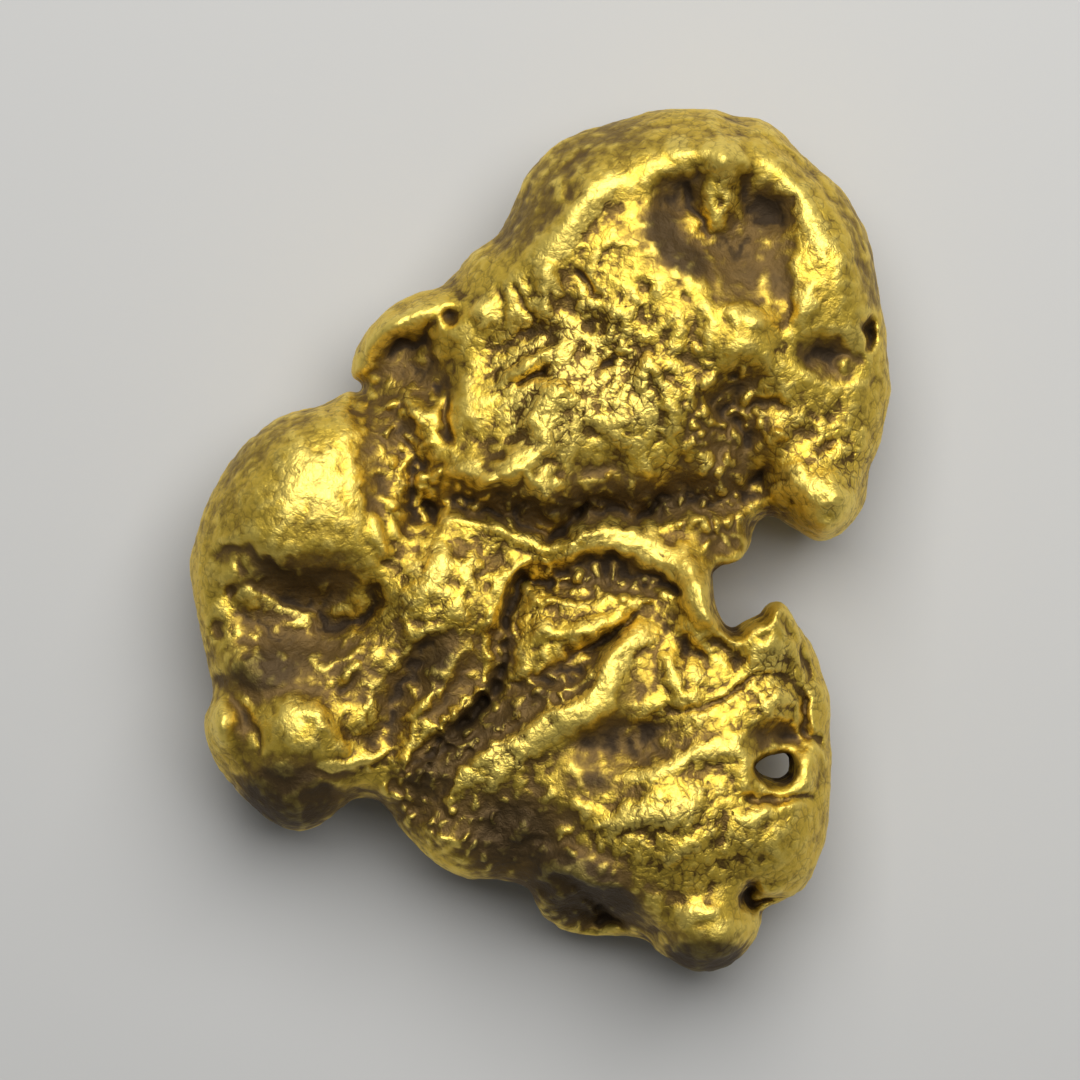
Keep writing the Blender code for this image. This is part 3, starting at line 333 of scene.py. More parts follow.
ledges.lump(-0.6, 1.0, 1.1, 0.6, -0.25, turn=-15)

# ---------------------------------------------------------------------------------------------------------
# The flap. A thin leaf of gold on the upper lobe's left, folded up at its rim into a curled lip, with a
# hollow behind the lip.

top.lump(-4.2, 5.4, 2.1, 1.8, -1.25)
top.ridge([(-5.9, 5.0), (-5.5, 5.85), (-4.7, 6.6), (-3.5, 7.25), (-2.6, 7.6)], 0.55, 1.0, 0.7, taper=0.15)
ledges.ridge([(-4.9, 5.7), (-4.3, 6.05), (-3.6, 6.3), (-3.2, 6.7)], -0.4, 0.35, 0.5)
ledges.lump(-3.4, 5.8, 0.35, 0.4, -0.2)
ledges.lump(-3.1, 4.8, 0.35, 0.35, -0.2)
ledges.lump(-2.8, 6.85, 0.4, 0.4, -0.3)
ledges.lump(-5.2, 5.0, 0.4, 0.35, 0.2)
ledges.ridge([(-4.6, 4.6), (-3.9, 4.3), (-3.5, 3.7)], 0.18, 0.45)
ledges.lump(-6.6, 3.95, 0.3, 0.2, -0.2)

# ---------------------------------------------------------------------------------------------------------
# The left mass. A dome polished by wear and brightened with painted highlight, a slope and plate below it
# browned with iron and painted shade, a bead pressed into its edge, and a knob over the lower left lobe.

top.lump(-7.3, 1.2, 4.0, 3.8, 1.2)
top.ridge([(-5.6, 3.9), (-5.2, 2.8), (-5.0, 1.6), (-5.0, 0.4)], -0.4, 0.7, 0.7, start=0.4)
top.lump(-7.6, -2.3, 3.8, 2.1, -1.2)
top.lump(-6.7, -1.3, 2.0, 1.5, -0.35)
top.lump(-8.9, -3.5, 1.9, 1.3, 0.15)
top.lump(-7.2, -5.9, 2.1, 1.5, 0.9)
top.lump(-7.8, -7.6, 1.9, 1.3, 0.2)
valley = [(-6.2, 4.6), (-4.9, 3.9), (-4.2, 2.9), (-3.9, 1.6), (-3.7, 0.8)]
top.ridge(valley, -0.6, 1.0, 0.9, start=0.6, end=0.6)
top.ridge([(-4.9, -6.9), (-4.6, -5.8), (-4.1, -4.7), (-3.3, -3.8)], -0.45, 0.9, 0.8, start=0.4, end=0.1)
ledges.ridge([(-10.3, -0.6), (-9.5, -0.2), (-8.6, -0.5), (-7.6, -1.2)], -0.28, 0.4, 0.7)
ledges.lump(-9.3, -0.8, 0.3, 0.35, -0.2)
ledges.lump(-9.6, -1.5, 0.3, 0.25, -0.18)
ledges.lump(-8.6, -1.2, 0.3, 0.25, -0.18)
ledges.lump(-6.75, -1.3, 0.45, 0.4, 0.18)
ledges.ridge([(-5.3, -0.9), (-5.2, -1.9), (-5.8, -2.45), (-6.6, -2.65), (-7.4, -2.5)], -0.35, 0.4, 0.5)
ledges.ridge([(-9.4, -1.4), (-8.5, -1.85), (-7.8, -2.3), (-6.8, -2.6)], 0.35, 0.3, 0.9, taper=0.25)
ledges.ridge([(-10.15, -2.4), (-10.1, -3.1)], -0.25, 0.22)
ledges.ridge([(-10.0, -4.1), (-10.0, -4.8)], -0.3, 0.25)
ledges.lump(-9.9, -5.65, 0.5, 0.95, 0.35)
ledges.ridge([(-9.8, -4.8), (-9.4, -5.3), (-9.1, -5.8), (-8.8, -6.0), (-8.6, -6.6)], -0.16, 0.22)
ledges.ridge([(-8.2, -5.2), (-7.4, -5.1), (-6.75, -5.4), (-6.6, -6.0)], 0.22, 0.5, 0.6)
ledges.lump(-7.9, -7.4, 0.7, 0.5, -0.12)
curl = [(-7.4, -6.4), (-6.9, -6.9), (-6.0, -6.95), (-5.4, -6.8), (-4.9, -6.5), (-4.7, -6.1)]
ledges.ridge(curl[1:], 0.26, 0.34, 0.24, taper=0.3)
ledges.lump(-5.6, -6.0, 0.8, 0.55, -0.25)
ledges.ridge([(-7.4, -7.6), (-6.5, -7.35), (-5.8, -7.6)], 0.15, 0.4)
ledges.ridge([(-6.2, -4.6), (-5.4, -4.35)], -0.22, 0.25)
ledges.lump(-5.7, -4.1, 0.5, 0.25, 0.15, turn=15)
ledges.ridge([(-7.4, -3.4), (-6.6, -3.7), (-5.8, -3.3)], 0.15, 0.45)

# ---------------------------------------------------------------------------------------------------------
# The centre. A cheek of bright metal, brightened further with painted highlight, overhangs a long crack, and
# right of the crack a curled strip of gold wraps round a flat tongue.

top.lump(-3.0, -1.7, 2.6, 2.2, 0.6, turn=20)
top.lump(-2.3, -4.6, 1.6, 1.6, -0.25, turn=-35)
top.lump(1.3, -2.9, 2.6, 1.2, 0.3, turn=8)
ledges.ridge([(-5.0, 0.9), (-4.9, 0.2), (-4.65, -0.5)], 0.22, 0.4)
ledges.lump(-4.3, 0.4, 0.4, 0.4, 0.16)
ledges.lump(-4.2, 1.9, 0.45, 0.45, 0.18)
ledges.lump(-4.15, 2.9, 0.5, 0.5, 0.18)
ledges.lump(-4.15, 2.9, 0.22, 0.22, -0.2)
ledges.lump(-3.5, 2.4, 0.35, 0.35, -0.2)
ledges.ridge([(-3.2, -0.1), (-3.0, -0.9), (-3.5, -1.5), (-4.2, -1.9)], 0.2, 0.5)
ledges.ridge([(-1.9, -0.4), (-2.2, -0.9), (-2.6, -1.4)], 0.12, 0.4)
ledges.ridge([(-0.3, -0.5), (-0.9, -1.4), (-1.1, -2.2), (-1.2, -2.9)], 0.3, 0.3, 0.9, taper=0.2)
ledges.ridge([(-4.3, -2.9), (-3.5, -2.9), (-2.8, -2.6)], 0.18, 0.4)
ledges.ridge([(-4.3, -5.7), (-3.6, -4.8), (-2.8, -3.9), (-2.0, -3.1)], 0.4, 0.7, 0.5)
ledges.ridge([(-5.0, -5.2), (-4.3, -4.3), (-3.6, -3.5), (-2.8, -2.9)], -0.3, 0.45)
ledges.ridge([(-6.4, -5.0), (-5.5, -5.2), (-4.9, -5.0)], 0.15, 0.4)
ledges.ridge([(-3.4, -6.0), (-2.5, -5.3), (-1.7, -4.85)], 0.22, 0.5, 0.3)
ledges.ridge([(-4.6, -7.5), (-4.0, -7.1), (-3.2, -6.7)], 0.18, 0.3)
strip_inside = [(0.6, -0.3), (1.5, -0.3), (2.4, -0.35), (3.1, -0.5), (3.8, -0.85), (4.35, -1.5), (4.65, -2.2),
                (5.0, -2.8)]
ledges.ridge(strip_inside, 0.44, 1.2, 0.28, taper=0.1, start=0.3)
strip_outside = [(0.9, 0.3), (2.0, 0.3), (3.0, 0.1), (4.05, -0.3), (4.7, -1.1), (5.0, -2.0), (5.5, -2.7)]
ledges.ridge(strip_outside, 0.22, 0.35, 0.8, taper=0.1, start=0.3)
ledges.ridge([(1.2, 0.05), (2.2, 0.0), (3.1, -0.15), (3.9, -0.5), (4.5, -1.2), (4.8, -2.0)], -0.06, 0.1)
ledges.ridge([(2.0, -0.18), (3.0, -0.33), (3.8, -0.7), (4.4, -1.4)], -0.04, 0.08)
ledges.ridge([(-0.9, -2.0), (0.1, -1.75), (1.1, -2.0), (2.2, -1.75), (3.4, -1.9)], 0.18, 0.3, 0.5, taper=0.2)
ledges.ridge([(-0.3, -2.9), (0.9, -2.85), (2.0, -2.75), (2.8, -2.1)], 0.22, 0.45, 0.35, taper=0.2)
ledges.ridge([(4.2, -2.3), (4.8, -3.1), (5.3, -3.7), (5.8, -4.1)], 0.28, 0.5, 0.4)
ledges.ridge([(5.0, -2.7), (5.5, -3.0), (5.95, -3.4)], 0.18, 0.35)
ledges.ridge([(3.7, -3.4), (4.0, -4.1), (4.4, -4.7), (5.1, -4.9)], 0.28, 0.4)
ledges.lump(4.5, -3.5, 0.4, 0.6, -0.16, turn=30)

# ---------------------------------------------------------------------------------------------------------
# The lower body. A long crest crosses it, a hollow browned with stain and painted shade and a second mound lie
# below, and at the bottom a bead hangs beside a lip that overhangs a lower plate.

top.lump(3.8, -6.6, 6.5, 6.0, 1.15)
crest = [(3.5, -2.5), (2.9, -3.2), (2.35, -3.9), (1.9, -4.7), (1.1, -5.35), (0.1, -5.85), (-1.0, -6.6), (-1.9, -7.4),
         (-2.6, -8.4)]
ledges.ridge([(x + 0.5, y - 0.55) for x, y in crest[1:-1]], -0.1, 0.6, taper=0.25)
top.ridge([(x - 0.25, y + 0.23) for x, y in crest], 0.5, 1.5, 0.42, taper=0.2)
top.lump(-0.7, -9.2, 2.4, 1.7, -0.5)
top.lump(2.9, -6.2, 2.5, 1.3, -0.75, turn=12)
top.lump(1.9, -7.6, 1.4, 0.8, -0.1, turn=15)
top.lump(4.3, -9.0, 3.2, 2.1, 0.4, turn=14)
top.lump(7.3, -6.2, 1.3, 0.8, -0.8)
top.lump(7.6, -9.2, 1.9, 1.6, 0.4)
top.lump(8.4, -5.3, 2.1, 3.4, -1.3)
top.lump(5.3, -12.0, 1.9, 1.6, 0.4)
top.lump(1.6, -12.0, 2.4, 1.6, -2.4)
top.lump(-3.7, -8.2, 1.5, 1.5, -0.7)
ledges.ridge([(3.9, -4.7), (4.0, -5.15), (4.6, -5.25), (5.2, -5.1), (5.8, -4.75), (6.5, -4.2), (7.3, -4.2),
              (7.9, -4.4)], -0.16, 0.14, taper=0.15)
ledges.ridge([(2.5, -7.4), (3.5, -7.0), (4.6, -6.6), (5.6, -6.2), (6.1, -6.4)], 0.18, 0.4, 0.6)
ledges.ridge([(1.4, -9.0), (2.5, -8.65), (3.4, -8.3), (4.4, -8.2), (5.2, -7.9)], 0.26, 0.8, 0.6)
ledges.lump(3.4, -7.85, 0.5, 0.4, 0.15)
ledges.ridge([(2.0, -9.55), (2.9, -9.2), (3.5, -9.3)], 0.15, 0.35)
ledges.ridge([(3.6, -9.75), (4.4, -9.4), (4.7, -8.9)], 0.16, 0.4)
ledges.ridge([(6.0, -8.85), (6.6, -8.4), (7.2, -8.15)], 0.2, 0.45)
ledges.ridge([(0.8, -7.8), (1.2, -8.1), (1.5, -8.5)], 0.2, 0.35)
ledges.lump(0.0, -9.6, 0.9, 0.7, -0.15)
ledges.lump(-1.6, -9.5, 0.8, 0.6, 0.12)

# The ear, the knuckle and the pinhole's frame.
ledges.lump(7.0, -3.5, 1.0, 0.9, 0.3)
ledges.ridge([(7.3, -2.1), (7.7, -2.7), (8.05, -3.3), (8.2, -3.9), (8.3, -4.4)], -0.35, 0.22, 0.2, taper=0.15)
ledges.lump(7.2, -5.0, 0.9, 0.8, 0.45)
ledges.ridge([(7.95, -4.4), (8.0, -5.2), (8.15, -5.9), (8.5, -6.25)], -0.4, 0.25)
ledges.lump(8.5, -6.2, 0.4, 0.3, -0.25)
ledges.ridge([(8.4, -6.3), (9.0, -6.4)], -0.25, 0.22)
ledges.ridge([(5.9, -6.0), (6.2, -6.6), (6.35, -7.2), (6.3, -7.7)], 0.2, 0.45, 0.7, taper=0.2)
ledges.ridge([(8.1, -6.5), (8.15, -7.2), (8.1, -7.9)], 0.2, 0.5, 0.3)
ledges.ridge([(6.5, -7.85), (7.3, -7.9), (8.2, -7.85), (8.7, -7.8)], -0.2, 0.15, 0.3)
ledges.ridge([(6.6, -8.15), (7.4, -8.2), (8.4, -8.1)], 0.12, 0.35)
ledges.lump(6.5, -7.8, 0.3, 0.25, -0.15)

# The bottom bead, the lip and the lower plate.
ledges.ridge([(4.1, -11.5), (4.8, -11.35), (5.5, -11.45)], 0.2, 0.4, 0.5)
ledges.ridge([(6.4, -10.8), (6.55, -11.15), (6.9, -11.4), (7.5, -11.25)], -1.3, 0.42, 0.4, taper=0.15, start=0.5, end=1)
ledges.ridge([(6.6, -10.9), (7.1, -10.95), (7.7, -10.7)], 0.2, 0.35, 0.25)
lip = [(-0.1, -10.45), (0.8, -10.15), (1.3, -10.35), (1.8, -10.75), (1.95, -11.15), (2.4, -11.5), (3.1, -11.55),
       (3.6, -11.8), (3.95, -12.3)]
ledges.ridge(lip, 0.35, 1.1, 0.22, taper=0.15, start=0.3, end=0.5)
ledges.lump(3.6, -12.3, 0.3, 0.45, 0.3)
ledges.lump(2.3, -11.95, 1.0, 0.35, -0.5, turn=-8)
ledges.ridge([(0.3, -10.75), (0.95, -10.7), (1.4, -11.05), (1.7, -11.45), (2.3, -11.85)], -0.35, 0.28)
ledges.lump(0.7, -11.2, 0.5, 0.35, 0.2)
ledges.lump(0.2, -10.9, 0.3, 0.4, -0.25)
ledges.lump(6.8, -9.8, 0.45, 0.4, -0.14)
ledges.ridge([(-2.5, -7.0), (-2.75, -7.8), (-2.9, -8.6)], 0.2, 0.3)
ledges.lump(-2.8, -9.3, 0.5, 0.45, 0.2)
ledges.lump(-3.4, -8.9, 0.4, 0.35, 0.16)

# ---------------------------------------------------------------------------------------------------------
# The cleft and the cracks. Where lobes were folded against each other the seams stayed open and keep
# their dirt, and the gold in them is darkened further with painted shade.

cleft = [(-3.7, 1.0), (-2.3, 1.1), (-1.1, 0.9), (0.1, 0.4), (1.2, 0.7), (2.8, 0.9), (4.2, 1.2), (5.4, 1.1), (6.9, 1.5)]
top.ridge(cleft, -0.9, 1.1, 0.6, taper=0.12, start=0.3, end=0.5)
top.ridge([(-0.9, -2.0), (0.2, -1.2), (2.0, -1.0), (3.6, -1.2), (4.4, -1.7)], -0.5, 0.7)
seam = [(-0.5, -1.3), (-1.05, -2.4), (-1.1, -3.8), (-1.4, -4.8), (-2.3, -5.6), (-3.4, -6.5), (-4.4, -7.3)]
top.ridge(seam, -0.4, 0.7, 0.5, taper=0.2, start=0.4, end=0.4)
top.ridge([(-1.2, -4.4), (0.2, -4.3), (1.2, -3.8), (2.2, -3.0), (3.1, -2.3)], -0.45, 0.6, 0.4, start=0.6)
ledges.ridge([(-3.7, 1.5), (-3.35, 1.0), (-3.15, 0.4)], -0.45, 0.26)
ledges.ridge([(-2.7, 1.5), (-1.8, 1.15), (-1.1, 0.5), (-0.6, 0.0)], -0.3, 0.22)
ledges.ridge([(0.0, -0.2), (0.45, 0.25), (0.95, 0.7), (1.3, 0.95), (1.65, 1.45)], -0.6, 0.3)
ledges.ridge([(2.7, 0.45), (3.1, 0.75), (3.5, 1.3), (4.1, 1.65)], -0.6, 0.3)
ledges.ridge([(4.5, 0.9), (5.0, 0.6), (5.15, 0.0)], -0.35, 0.22)
ledges.scatter([(-3.4, 1.6), (-1.6, 1.3), (0.2, 0.9), (2.2, 1.1), (4.4, 1.2), (6.4, 1.7)], 0.35, 130, 0.24, 0.16, 1)
ledges.scatter([(5.0, 0.4), (5.8, -0.2), (6.3, 0.4)], 0.35, 30, 0.26, 0.16, 2)
ledges.scatter([(-5.2, 4.2), (-4.4, 3.2), (-4.0, 2.0), (-3.7, 1.2)], 0.4, 60, 0.24, 0.16, 3)
ledges.scatter([(-4.2, -7.6), (-2.9, -6.5), (-1.6, -5.5), (-0.3, -4.6), (1.0, -3.9)], 0.4, 110, 0.25, 0.17, 4)
ledges.scatter([(0.2, -1.2), (1.6, -1.15), (3.0, -1.2), (4.0, -1.6)], 0.2, 30, 0.2, 0.14, 5)
ledges.scatter([(-4.0, -7.6), (-3.6, -8.4), (-3.0, -9.2)], 0.5, 50, 0.24, 0.16, 6)
ledges.scatter([(4.9, 4.6), (5.6, 3.4), (6.2, 2.4)], 0.7, 70, 0.26, 0.17, 7)
ledges.scatter([(0.3, -11.2), (1.4, -11.4), (2.8, -11.9)], 0.3, 40, 0.24, 0.15, 8)
ledges.scatter([(-2.0, -8.6), (-0.6, -9.2), (0.8, -9.4)], 0.7, 60, 0.3, 0.12, 9)
ledges.ridge([(-0.3, -1.0), (-0.75, -1.45), (-1.0, -2.0), (-1.0, -2.8)], -0.8, 0.24, taper=0.2)
ledges.ridge([(-1.0, -3.0), (-1.05, -3.6), (-1.3, -4.2)], -0.4, 0.16)
ledges.lump(-1.35, -4.55, 0.35, 0.4, -0.5)
ledges.ridge([(-1.5, -4.7), (-2.0, -5.3), (-2.6, -5.8)], -0.9, 0.24, taper=0.2)
ledges.ridge([(-2.6, -5.75), (-3.1, -6.2), (-3.7, -6.8)], -0.3, 0.13)
ledges.ridge([(-3.8, -6.6), (-4.2, -7.1), (-4.6, -7.6)], -0.3, 0.13)
ledges.scatter([(-1.1, -2.2), (-1.2, -4.0), (-2.6, -5.7), (-4.2, -7.2)], 0.22, 45, 0.2, 0.2, 10)
ledges.ridge([(-0.5, -1.15), (0.2, -1.3), (0.8, -1.3)], -0.4, 0.24)
ledges.ridge([(3.1, -1.3), (3.8, -1.35), (4.4, -1.75)], -0.35, 0.26)
ledges.scatter([(0.6, -1.1), (2.0, -1.3), (3.6, -1.5)], 0.28, 40, 0.22, 0.18, 11)
ledges.lump(-0.4, -4.8, 0.45, 0.35, -0.4)
ledges.lump(-1.3, -4.85, 0.18, 0.18, 0.3)
ledges.ridge([(0.5, -3.8), (0.95, -3.5), (1.7, -3.35), (2.3, -2.85), (3.2, -2.2)], -0.4, 0.24)

# ---------------------------------------------------------------------------------------------------------
# The underside. Worn rounder than the top, with a few soft folds and hollows, and three low spots ground
# flat, on which the nugget lies.

FEET = [(5.4, 8.2, 4.4, 3.4, 30), (-7.2, -2.4, 2.8, 4.2, 10), (4.4, -8.0, 3.6, 3.2, -20)]
FOOT_DEPTH = 1.25
belly = Relief(wavering(points, 0.5, 0.1), BELLY_CLEARANCE)
belly.lump(2.0, 5.5, 4.5, 3.5, 0.7, turn=25)
belly.lump(-1.5, 0.4, 5.0, 1.6, 1.0, turn=-8)
belly.lump(-4.0, -5.5, 1.8, 3.0, 0.9, turn=-30)
belly.lump(1.0, -5.5, 2.6, 2.2, 0.4)
belly.lump(7.0, 2.0, 2.6, 2.4, 0.6)
belly.lump(-4.6, 5.6, 2.0, 1.8, 0.9)
belly.lump(8.4, -5.3, 2.2, 3.4, 1.7)
belly.lump(1.7, -12.0, 2.6, 1.5, 0.8)
belly.lump(6.0, -0.6, 1.6, 1.4, 1.2)
belly.lump(8.7, 0.4, 2.2, 1.9, 1.6)
belly.ridge([(-9.0, 2.0), (-7.4, 1.0), (-6.6, -0.6), (-7.0, -2.0)], 0.35, 0.8)
belly.ridge([(1.0, 9.5), (2.6, 8.6), (3.4, 7.0), (3.0, 5.0)], -0.4, 0.9)
belly.ridge([(-2.0, -8.0), (0.0, -7.6), (1.8, -8.4), (3.0, -10.0)], -0.35, 0.8)
belly.lump(8.3, 8.6, 1.2, 1.5, 0.45)
belly.lump(-8.6, -6.4, 1.3, 1.2, 0.35)
belly.lump(0.6, 2.8, 1.2, 0.9, -0.4)
belly.lump(4.6, 3.6, 0.8, 1.1, 0.4)
for x, y, half_length, half_width, turn in FEET:
    belly.lump(x, y, half_length, half_width, -FOOT_DEPTH, turn)

# ---------------------------------------------------------------------------------------------------------
# The broken skin. Away from the worn flanks the gold is crumpled into small tilted facets, with pits and
# grains between them.

def brokenness(points):
    """How broken the skin is at each point, from 0 on worn gold to 1."""
    share = Relief(points, 0.1)
    share.lump(1.5, 5.2, 5.0, 4.2, 1.2)
    share.lump(6.2, 3.6, 3.2, 3.4, 0.8)
    share.lump(9.0, 2.6, 2.0, 2.8, 0.8)
    share.ridge([(7.6, 11.2), (8.2, 10.0), (8.7, 9.0), (8.4, 7.6)], 0.5, 0.9)
    share.ridge([(-3.4, 1.4), (-1.4, 1.1), (0.4, 0.8), (2.4, 1.0), (4.4, 1.4), (6.4, 1.8)], 0.8, 1.3)
    share.lump(5.6, 10.0, 2.2, 1.8, 0.6)
    share.lump(-0.8, -1.5, 5.0, 3.0, 1.0)
    share.lump(-5.0, -4.0, 4.0, 3.5, 0.8)
    share.lump(-8.5, -2.6, 2.4, 2.4, 0.5)
    share.lump(-7.0, 1.8, 1.6, 1.5, 0.3)
    share.lump(-2.0, -6.0, 3.5, 3.2, 0.9)
    share.lump(3.5, -5.0, 5.0, 4.0, 0.6)
    share.lump(4.5, -9.0, 4.6, 2.6, 0.8)
    share.lump(7.3, -4.5, 2.2, 2.4, 0.8)
    share.lump(1.2, -11.4, 2.4, 1.2, 0.8)
    share.lump(-0.9, -8.8, 2.4, 2.0, 0.8)
    share.lump(-3.6, -8.2, 1.8, 1.6, 0.8)
    share.lump(-4.2, 2.8, 1.6, 2.6, 0.8)
    share.lump(-4.0, 5.2, 1.6, 1.2, 0.7)
    share.lump(5.0, 1.4, 3.0, 1.6, 0.7)
    share.lump(2.2, 9.0, 1.7, 1.3, 0.5)
    share.lump(6.2, 8.2, 1.5, 1.2, -0.5)
    share.lump(1.8, 3.0, 1.2, 1.5, -0.6, turn=-20)
    share.lump(-2.2, 4.1, 1.2, 1.2, -0.5)
    share.lump(-1.6, -1.8, 1.2, 1.2, -0.6)
    share.lump(-1.0, -0.6, 1.0, 0.6, -0.6)
    share.ridge([(3.2, -3.4), (2.2, -4.7), (0.8, -5.8), (-0.8, -6.7)], -0.8, 1.5, 0.6)
    share.ridge([(-4.8, -7.7), (-3.1, -7.0), (-1.6, -5.8), (-0.2, -4.8), (1.0, -4.1), (2.0, -3.3)], 0.6, 1.1)
    share.lump(5.3, -12.4, 1.8, 1.6, -0.8)
    share.ridge([(0.0, -1.2), (1.8, -1.2), (3.2, -1.4), (4.2, -1.9)], 0.6, 0.7)
    share.ridge([(1.0, 0.0), (2.8, -0.1), (4.2, -0.7), (4.9, -1.8), (5.4, -2.8)], -0.5, 0.6)
    return np.clip(share.height, 0.05, 1)


def staining_and_shade(points):
    """How much iron-brown each point carries, from iron and from painted shade on the steep flanks: full is 1."""
    stain_and_shade = Relief(points, 0)
    # Browner over the socket and the saddle below it: partly iron stain, partly painted shade.
    stain_and_shade.lump(6.4, 8.8, 2.3, 1.9, 1.05)
    stain_and_shade.lump(6.2, 7.8, 1.7, 0.9, 0.5)
    stain_and_shade.ridge([(3.3, 10.7), (3.7, 9.6), (4.5, 8.6), (5.3, 7.7)], 1.0, 1.0)
    stain_and_shade.lump(7.4, 7.9, 0.8, 0.9, 0.7)
    stain_and_shade.lump(4.3, 10.5, 1.4, 1.4, 0.8)
    stain_and_shade.lump(7.0, 10.3, 1.3, 1.4, 1.0)
    stain_and_shade.lump(-0.9, -9.0, 2.9, 2.5, 1.8)
    stain_and_shade.lump(1.5, -11.2, 3.2, 1.6, 1.9)
    stain_and_shade.lump(5.1, -12.9, 2.2, 1.4, 2.0)
    stain_and_shade.lump(3.4, 9.3, 1.4, 1.3, 0.7)
    stain_and_shade.lump(4.3, 8.5, 1.2, 1.0, 0.7)
    stain_and_shade.ridge([(3.6, -4.0), (2.6, -5.2), (1.4, -6.2), (0.2, -6.9)], 0.6, 0.8)
    stain_and_shade.lump(1.5, -7.2, 1.3, 0.8, 1.0)
    stain_and_shade.ridge([(-0.4, -1.0), (-1.0, -1.9), (-1.1, -3.8), (-2.6, -5.8), (-4.4, -7.4)], 1.3, 0.45)
    stain_and_shade.lump(1.3, -10.0, 1.9, 1.0, 1.2)
    stain_and_shade.lump(-9.2, -5.7, 0.6, 1.2, 1.2, turn=25)
    stain_and_shade.ridge([(-10.3, -0.9), (-8.6, -0.9), (-7.4, -1.3), (-6.2, -1.1), (-5.2, -1.5)], 1.3, 1.5)
    stain_and_shade.lump(-8.0, -3.5, 3.6, 2.2, 1.3)
    stain_and_shade.lump(-8.7, -4.2, 1.5, 0.9, 1.0)
    stain_and_shade.lump(-4.0, -4.2, 3.6, 2.8, 0.9)
    stain_and_shade.ridge([(-4.8, -7.7), (-3.1, -7.0), (-1.6, -5.8), (-0.2, -4.8), (1.0, -4.1), (2.0, -3.3)], 1.3, 1.0)
    stain_and_shade.lump(5.9, 3.3, 2.4, 2.9, 1.0)
    stain_and_shade.lump(-4.0, 5.3, 2.0, 1.5, 1.0)
    stain_and_shade.lump(-7.8, -7.9, 2.6, 2.0, 2.2)
    stain_and_shade.lump(7.2, -6.1, 1.5, 0.9, 1.0)
    stain_and_shade.ridge([(-3.6, 1.4), (-1.6, 1.1), (0.2, 0.8), (1.9, 1.2), (3.8, 1.2), (5.6, 1.3), (6.9, 1.8)], 1.5, 1.4, 1.05)
    stain_and_shade.ridge([(0.2, -1.1), (1.8, -1.1), (3.2, -1.2), (4.2, -1.6)], 1.3, 0.9)
    stain_and_shade.lump(5.7, 0.0, 1.3, 1.1, 1.0)
    stain_and_shade.lump(-2.9, -3.6, 1.6, 1.2, 0.7, turn=40)
    stain_and_shade.lump(-3.8, -8.2, 2.0, 1.8, 1.0)
    stain_and_shade.lump(3.2, -6.2, 2.4, 1.1, 0.9)
    stain_and_shade.lump(2.0, -7.5, 1.4, 0.7, 0.7)
    stain_and_shade.lump(-4.6, 3.2, 1.8, 1.8, 0.6)
    # Painted shade: the steep outer flanks, the rims and the dome's east shoulder are browned for how the light falls
    # on them.
    stain_and_shade.ridge([(4.5, 13.3), (1.7, 12.3), (0.4, 11.2), (-0.5, 9.9), (-2.2, 8.4)], 0.6, 1.5)
    stain_and_shade.ridge([(8.2, 12.0), (9.5, 10.5), (10.1, 8.9), (10.3, 7.0), (10.4, 5.0)], 0.4, 0.8)
    stain_and_shade.ridge([(-6.2, 3.7), (-8.6, 3.0), (-9.9, 1.4), (-10.5, -0.5)], 0.4, 1.0)
    stain_and_shade.ridge([(-5.4, 3.4), (-5.2, 2.0), (-5.1, 0.6)], 0.6, 0.6)
    stain_and_shade.lump(8.9, 5.6, 1.5, 1.0, 1.2)
    return stain_and_shade.height


